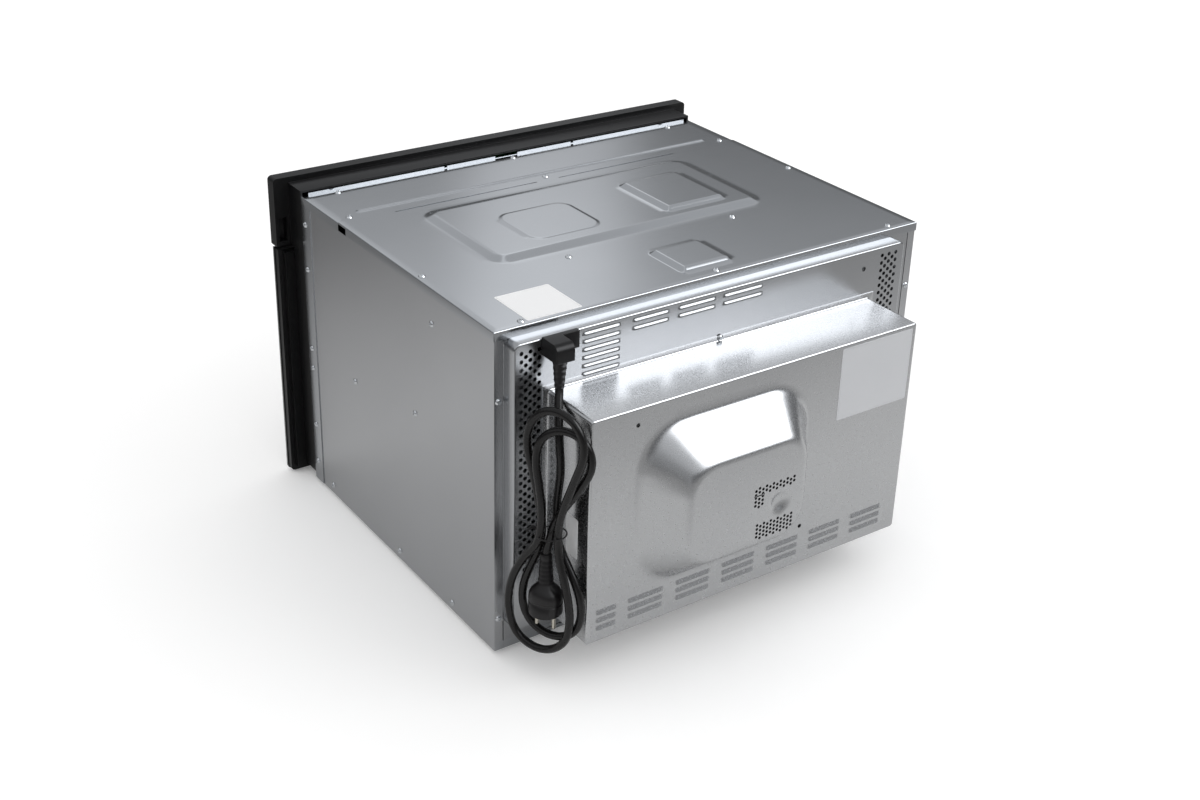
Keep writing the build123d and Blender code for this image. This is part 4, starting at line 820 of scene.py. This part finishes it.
def blankPlates():
    # Thin blank plates with rounded corners: paper on the lid and on the box's side, foil on its face.
    # Each loop is (how far it is drawn in, its rise), with as many points per corner as steps.
    look = {"corner": 2, "steps": 5, "loops": ((0, 0), (0.1, 0.25), (1.9, 0.25))}
    side = boxLook["outline"][1]
    spots = {
        "lid_plate": (coatedPaper, (172.5, 236.8, frontY + 355, frontY + 419), "z", lidZ),
        "box_plate": (silverFoil, (-192, -91, bottomZ + 214, bottomZ + 299), "y", boxFace),
        "side_plate": (coatedPaper, (frontY + 480, frontY + 500, bottomZ + 139, bottomZ + 185), "x", side),
    }
    made = []
    for name, (material, outline, way, level) in spots.items():
        rings = []
        for inset, rise in look["loops"]:
            loop = roundedLoop(drawn(outline, inset), look["corner"] - inset, look["steps"])
            a, b, c = loop[:, 0], loop[:, 1], np.full(len(loop), level + rise)
            rings.append(np.stack({"z": (a, b, c), "y": (a, c, b), "x": (c, a, b)}[way], axis=1))
        points, quads = wrapped(np.array(rings))
        inner = rings[-1][::look["steps"]]
        fill = np.array([[0, 1, 2, 3]])
        if way == "y":
            parts = [(points, quads), (inner, fill[:, ::-1])]
        else:
            parts = [(points, quads[:, ::-1]), (inner, fill)]
        made.append(meshPiece(name, *joined(parts), material))
    return made


# Camera at the photograph's place: it looks down on the oven's rear left corner.
cameraSettings = {
    "azimuth": 144.68, "elevation": 25.81, "roll": 1.72, "distance": 1938.0, "aim": (0, -32.5, 186),
    "right": 4.31, "up": 18.92, "focalPixels": 1623.03, "widthPixels": 1200, "sensor": 36, "shift": -0.05,
    "clip": (0.05, 60),
}


def placeCamera(look):
    azimuth, elevation, roll = [math.radians(look[key]) for key in ("azimuth", "elevation", "roll")]
    back = Vector((
        math.sin(azimuth) * math.cos(elevation),
        -math.cos(azimuth) * math.cos(elevation),
        math.sin(elevation),
    ))
    level = Vector((math.cos(azimuth), math.sin(azimuth), 0))
    upright = back.cross(level)
    right = math.cos(roll) * level + math.sin(roll) * upright
    up = math.cos(roll) * upright - math.sin(roll) * level
    place = Vector(look["aim"]) + back * look["distance"] + right * look["right"] + up * look["up"]
    camera = placed("camera", bpy.data.cameras.new("camera"))
    camera.matrix_world = Matrix.Translation(place * mm) @ Matrix((right, up, back)).transposed().to_4x4()
    camera.data.sensor_width = look["sensor"]
    camera.data.lens = look["focalPixels"] / look["widthPixels"] * look["sensor"]
    camera.data.shift_y = look["shift"]
    camera.data.clip_start, camera.data.clip_end = look["clip"]
    bpy.context.scene.camera = camera


placeCamera(cameraSettings)
print("camera placed")

# Mains cord. The route is the stretch from the clamp; the turns are those of the tied hank, given as
# (along, height, toward the viewer) in the upright plane that it hangs in.
cordSettings = {
    "diameter": 8.5, "length": 1.4, "order": 3, "resolution": 8, "roundness": 5,
    "hangFrom": (256, 257.5, 6), "along": (-0.5, 0.866025), "across": (0.866025, 0.5),
}
cordRoute = [
    (226, 227.5, 351), (226, 227.5, 327), (236, 241.5, 303), (242.5, 253.5, 278),
    (241.5, 256.5, 246), (243.5, 253, 215), (243.5, 253, 190),
]
hankTurns = [
    (2.4, 166, -13), (10, 146, -12), (23, 128, -8), (34, 106, -5), (36.8, 82.1, -4), (27.9, 60.1, -3),
    (6, 51.2, -2), (-16.6, 58.4, -2), (-30, 78, -3), (-30, 104, -4), (-21, 130, -5), (-11, 156, -5),
    (-8.8, 176, -4.5), (-11, 197, -4), (-17, 232, -2), (-26.2, 272, 0), (-19.9, 296.9, 0), (-5.1, 310.9, 0),
    (12.9, 313.1, 1), (31.5, 302.9, 3), (41.1, 277.7, 4.6), (29, 243, 4.6), (17, 208, 3.5), (11, 186, 1),
    (10.5, 168, 0), (13, 150, 2), (21, 124, 4), (28, 90, 4), (25, 57, 3), (8, 38, 2), (-14, 33, 1),
    (-37, 46, 1), (-45, 78, 1), (-41, 110, 1), (-27, 140, 2), (-12, 158, 3.5), (-6.5, 176, 4.1),
    (-5, 204, 4.5), (-9, 231, 4.5), (-13.4, 256.2, 4), (-10.3, 278.4, 1.5), (5.1, 291.5, -1.5),
    (25, 291.5, -4), (40.7, 278.4, -4.4), (44.3, 255.6, -4.4), (29, 228, -4.6), (11.5, 200, -6),
    (3, 182, -4), (1, 168, -2.5), (-2, 156, -1), (-2, 146, 0),
]


def hankPoint(along, height, toward):
    x, y, z = cordSettings["hangFrom"]
    dx, dy = cordSettings["along"]
    nx, ny = cordSettings["across"]
    return (x + along * dx + toward * nx, y + along * dy + toward * ny, z + height)


def cordCurve():
    # one open NURBS spline whose control points are the route's points and the hank's
    points = cordRoute + [hankPoint(*turn) for turn in hankTurns]
    curve = bpy.data.curves.new("mains_cord", "CURVE")
    curve.dimensions = "3D"
    spline = curve.splines.new("NURBS")
    spline.points.add(len(points) - 1)
    for target, place in zip(spline.points, points):
        target.co = (*[value * mm for value in place], 1)
    spline.order_u = cordSettings["order"]
    spline.use_endpoint_u = True
    curve.resolution_u = cordSettings["resolution"]
    piece = placed("mains_cord", curve)
    line = bpy.data.meshes.new_from_object(piece)
    path = np.array([vertex.co for vertex in line.vertices])
    bpy.data.meshes.remove(line)
    curve.bevel_depth = cordSettings["diameter"] / 2 * mm
    curve.bevel_resolution = cordSettings["roundness"]
    curve.materials.append(pvcJacket)
    return piece, path


cordPiece, cordPath = cordCurve()
steps = np.linalg.norm(np.diff(cordPath, axis=0), axis=1)
print("cord length", round(float(steps.sum()), 3))


def ribbedRelief():
    # A tapered, ribbed sleeve from the clamp down the cord: radius = taper less depth times a cosine wave
    # from 0 to 1, past the plain start. Both ends are sunk into the cord.
    look = {
        "length": 30, "wide": 7.6, "narrow": 4.9, "ribs": 5, "depth": 0.5, "rings": 41, "plain": 0.05,
        "sunk": 0.3,
    }
    travelled = np.concatenate([[0], np.cumsum(steps)])
    at = np.linspace(0, look["length"] * mm, look["rings"])
    path = np.stack([np.interp(at, travelled, cordPath[:, k]) for k in range(3)], axis=1)
    share = np.linspace(0, 1, look["rings"])
    wave = 0.5 + 0.5 * np.cos(2 * math.pi * look["ribs"] * share)
    radii = look["wide"] + (look["narrow"] - look["wide"]) * share
    radii -= look["depth"] * wave * (share > look["plain"])
    radii[0] = radii[-1] = cordSettings["diameter"] / 2 - look["sunk"]
    return meshPiece("strain_relief", *wrapped(swept(path / mm, radii, (1, 0, 0))), mouldedPvc, 60)


relief = ribbedRelief()


def mainsPlug():
    # Turned plug, as (radius, height): neck, ribs, shoulder and grip. A rib's points are (radius, growth
    # from rib to rib, drop). The grip is pressed flat on two sides: the radius loses a share times the
    # sine of the angle to the fourth power. That share grows from the press's start over its depth.
    look = {
        "along": -2, "sides": 40, "neck": [(0.5, 151), (5.2, 151), (5.9, 150)],
        "ribs": 6, "ribTop": 146.5, "ribPitch": 5,
        "rib": [(6.2, 0.3, 0), (6.3, 0.3, 1.7), (5.1, 0.25, 2.1), (5.2, 0.25, 3.3)],
        "grip": [
            (8.4, 115.5), (11.5, 112), (15, 108.5), (17, 104.5), (17.6, 100), (17.6, 97), (16.9, 96.4),
            (16.9, 95), (17.6, 94.4), (17.6, 84), (17.2, 82.6), (16.2, 82), (0.5, 82),
        ],
        "press": {"share": 0.16, "start": 116, "over": 16, "end": 84},
        "pin": [(0.2, 63.6), (1.5, 63.6), (2.0, 64.3), (2.3, 65.4), (2.3, 82.5)],
        "pinSpread": 9.5, "pinSides": 20,
    }
    press = look["press"]
    profile = list(look["neck"])
    for rib in range(look["ribs"]):
        z = look["ribTop"] - look["ribPitch"] * rib
        profile += [(radius + growth * rib, z - drop) for radius, growth, drop in look["rib"]]
    profile += look["grip"]
    axis = (0, 0, 1)
    side = (*cordSettings["along"], 0)

    def pressed(t, height):
        grip = np.clip((press["start"] - height) / press["over"], 0, 1)
        return 1 - press["share"] * grip * np.sin(t) ** 4 * (height > press["end"])

    rings = turned(profile[::-1], hankPoint(look["along"], 0, 0), axis, side, look["sides"], pressed)
    body = meshPiece("mains_plug", *wrapped(rings), mouldedPvc, 40)
    pins = []
    for spread in (-look["pinSpread"], look["pinSpread"]):
        start = hankPoint(look["along"] + spread, 0, 0)
        pins.append(wrapped(turned(look["pin"], start, axis, side, look["pinSides"])))
    return body, meshPiece("plug_pins", *joined(pins), nickelPlating)


plugBody, plugPins = mainsPlug()


def wireTie():
    # A wire wound round the strands: an oval in the hank's own along and toward directions, tilted a
    # little; then its two ends twisted round each other, in an arch away from the hank.
    look = {
        "along": 0.9, "toward": -4.4, "height": 172, "halfLong": 15.8, "halfWide": 14.4, "tilt": 1.2,
        "wire": 0.8, "sides": 10, "rings": 64,
        "tail": {
            "length": 16, "rings": 40, "halfTurns": 10, "radius": 0.9, "reach": 0.55, "arch": (0.9, 1.1),
            "forward": 3,
        },
    }
    tail = look["tail"]

    def wound(along, height, toward):
        # the wire along a line of the hank's own places
        line = np.stack(hankPoint(along, height, toward), axis=1)
        return wrapped(swept(line, np.full(len(line), look["wire"]), (0, 0, 1), look["sides"]))

    t = np.linspace(0, 2 * math.pi, look["rings"])
    parts = [wound(
        look["along"] + look["halfLong"] * np.cos(t),
        look["height"] + look["tilt"] * np.cos(t),
        look["toward"] + look["halfWide"] * np.sin(t),
    )]
    s = np.linspace(0, 1, tail["rings"])
    out = tail["length"] * s
    rise, fall = tail["arch"]
    for turn in (0, math.pi):
        spin = tail["halfTurns"] * s * math.pi + turn
        parts.append(wound(
            look["along"] - look["halfLong"] - out * tail["reach"] + tail["radius"] * np.cos(spin),
            look["height"] + out * (rise - fall * s) + tail["radius"] * np.sin(spin),
            look["toward"] + tail["forward"] * s,
        ))
    return meshPiece("wire_tie", *joined(parts), mouldedPvc)


tie = wireTie()
sheetPieces = {
    pressedLid(): ["top_cover"], frontStrip(): ["top_front_strip"], rearWall(): ["rear_panel"],
    rearBox(): ["rear_cover"], screwHeads(): ["cover_screws"],
}
for piece, stoodFor in sheetPieces.items():
    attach(piece, "cabinet")
    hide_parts(*stoodFor)
for piece in blankPlates():
    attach(piece, "cabinet")
print("sheet metal, screws and plates made")
edgeWidths = {"cord_clamp": 0.8, "control_panel": 0.6, "front_surround": 0.6, "door_frame": 0.5}
for node, width in edgeWidths.items():
    softened(node, width)

onCord = [relief, plugBody, plugPins, tie]
for piece in [cordPiece] + onCord:
    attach(piece, "cabinet")
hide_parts("cord_tube", "cord_hank")
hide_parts("plug")
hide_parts("cord_tie")
print("cord, relief, plug and tie made")


def pathMix(tree, kind, plain, seen):
    # one value for the rays of the given kind, another for all others
    return blended(tree, addNode(tree, "ShaderNodeLightPath").outputs[kind], plain, seen)


def studioFloor(look):
    # A pale floor, a little lighter for the camera, so that it ends in white. Gloss sees it darker
    # and falling off to the front and to the rear, as a paper sweep does away from the lamps.
    half = look["half"]
    corners = np.array([(-half, -half, 0), (half, -half, 0), (half, half, 0), (-half, half, 0)], float)
    material = bpy.data.materials.new("paintedStudioFloor")
    material.use_nodes = True
    tree = material.node_tree
    place = addNode(tree, "ShaderNodeTexCoord").outputs["Object"]
    along = addNode(tree, "ShaderNodeSeparateXYZ", inputs={"Vector": place}).outputs["Y"]
    least = reckoned(tree, "MINIMUM", *[mapped(tree, along, *fall) for fall in look["falls"]])
    grey = addNode(tree, "ShaderNodeCombineColor", inputs={0: least, 1: least, 2: least}).outputs["Color"]
    shader = tree.nodes["Principled BSDF"]
    paint = (look["paint"],) * 3 + (1,)
    tree.links.new(pathMix(tree, "Is Glossy Ray", paint, grey), shader.inputs["Base Color"])
    lift = (look["lift"],) * 3 + (1,)
    tree.links.new(pathMix(tree, "Is Camera Ray", (0, 0, 0, 1), lift), shader.inputs["Emission Color"])
    shader.inputs["Emission Strength"].default_value = 1
    shader.inputs["Roughness"].default_value = look["rough"]
    shader.inputs["Specular IOR Level"].default_value = look["specular"]
    meshPiece("studio_floor", corners, np.array([[0, 1, 2, 3]]), material)


def glow(tree, direction, aim, span, strength):
    # a soft lobe of light round a direction: from 0 to its strength as the angle to the aim closes from the
    # outer to the inner angle of the span
    near = dotted(tree, direction, Vector(aim).normalized())
    outer, inner = [math.cos(math.radians(angle)) for angle in span]
    return mapped(tree, near, outer, inner, 0.0, strength, "SMOOTHSTEP")


def stripLight(tree, direction, azimuth, span, strength):
    # an upright strip of light at an azimuth from -Y toward -X: the direction's distance from that upright
    # plane is its dot product with the plane's normal
    turn = math.radians(azimuth)
    away = dotted(tree, direction, (math.cos(turn), -math.sin(turn), 0))
    outer, inner = [math.sin(math.radians(angle)) for angle in span]
    return mapped(tree, reckoned(tree, "ABSOLUTE", away), inner, outer, strength, 0.0, "SMOOTHSTEP")


def surroundings(look):
    # White for the camera and for diffuse light. Gloss sees a grey room that brightens with height, with
    # soft boxes in it, given as (direction, outer and inner angle, strength), and a strip light.
    world = bpy.data.worlds.new("studio")
    bpy.context.scene.world = world
    world.use_nodes = True
    tree = world.node_tree
    tree.nodes.clear()
    direction = addNode(tree, "ShaderNodeTexCoord").outputs["Generated"]
    height = addNode(tree, "ShaderNodeSeparateXYZ", inputs={"Vector": direction}).outputs["Z"]
    (lowEnd, dark), (highEnd, bright) = look["low"], look["high"]
    room = mapped(tree, height, lowEnd, highEnd, dark, bright)
    lights = [glow(tree, direction, *box) for box in look["softBoxes"]]
    lights.append(stripLight(tree, direction, *look["strip"]))
    for light in lights:
        room = reckoned(tree, "ADD", room, light)
    tint = addNode(tree, "ShaderNodeVectorMath", {"operation": "SCALE"}, {
        0: look["tint"], "Scale": room,
    }).outputs["Vector"]
    fill = (look["fill"], look["fill"], look["fill"], 1)
    seen = pathMix(tree, "Is Camera Ray", pathMix(tree, "Is Glossy Ray", fill, tint), (1, 1, 1, 1))
    background = addNode(tree, "ShaderNodeBackground", inputs={"Color": seen, "Strength": 1.0})
    addNode(tree, "ShaderNodeOutputWorld", inputs={"Surface": background.outputs["Background"]})


def softLamp(name, place, size, power, aim):
    lamp = bpy.data.lights.new(name, "AREA")
    lamp.shape = "SQUARE"
    lamp.size = size
    lamp.energy = power
    holder = placed(name, lamp)
    holder.location = place
    holder.rotation_euler = (Vector(place) - Vector(aim)).to_track_quat("Z", "Y").to_euler()


studioSettings = {
    "floor": {
        "half": 7000, "falls": [(-0.95, -0.3, 0.25, 0.72), (0.55, 0.85, 0.72, 0.36)], "lift": 0.12,
        "paint": 0.95, "rough": 0.9, "specular": 0.1,
    },
    "world": {
        "low": (0.3, 0.16), "high": (0.44, 0.7), "tint": (0.97, 0.99, 1.02), "fill": 1.0,
        "softBoxes": [
            ((-0.52, 0.6, 0.6), (29, 16), 3.6),
            ((-0.4, -0.785, 0.47), (14, 6), 0.14),
        ],
        "strip": (33.2, (4, 1.5), 0.42),
    },
    "lamps": [("keyLamp", (-1.3, 1.6, 1.9), 1.4, 9, (0, 0, 0.2))],
}
studioFloor(studioSettings["floor"])
surroundings(studioSettings["world"])
for lamp in studioSettings["lamps"]:
    softLamp(*lamp)
bpy.context.scene.view_settings.view_transform = "Standard"
print("studio ready")
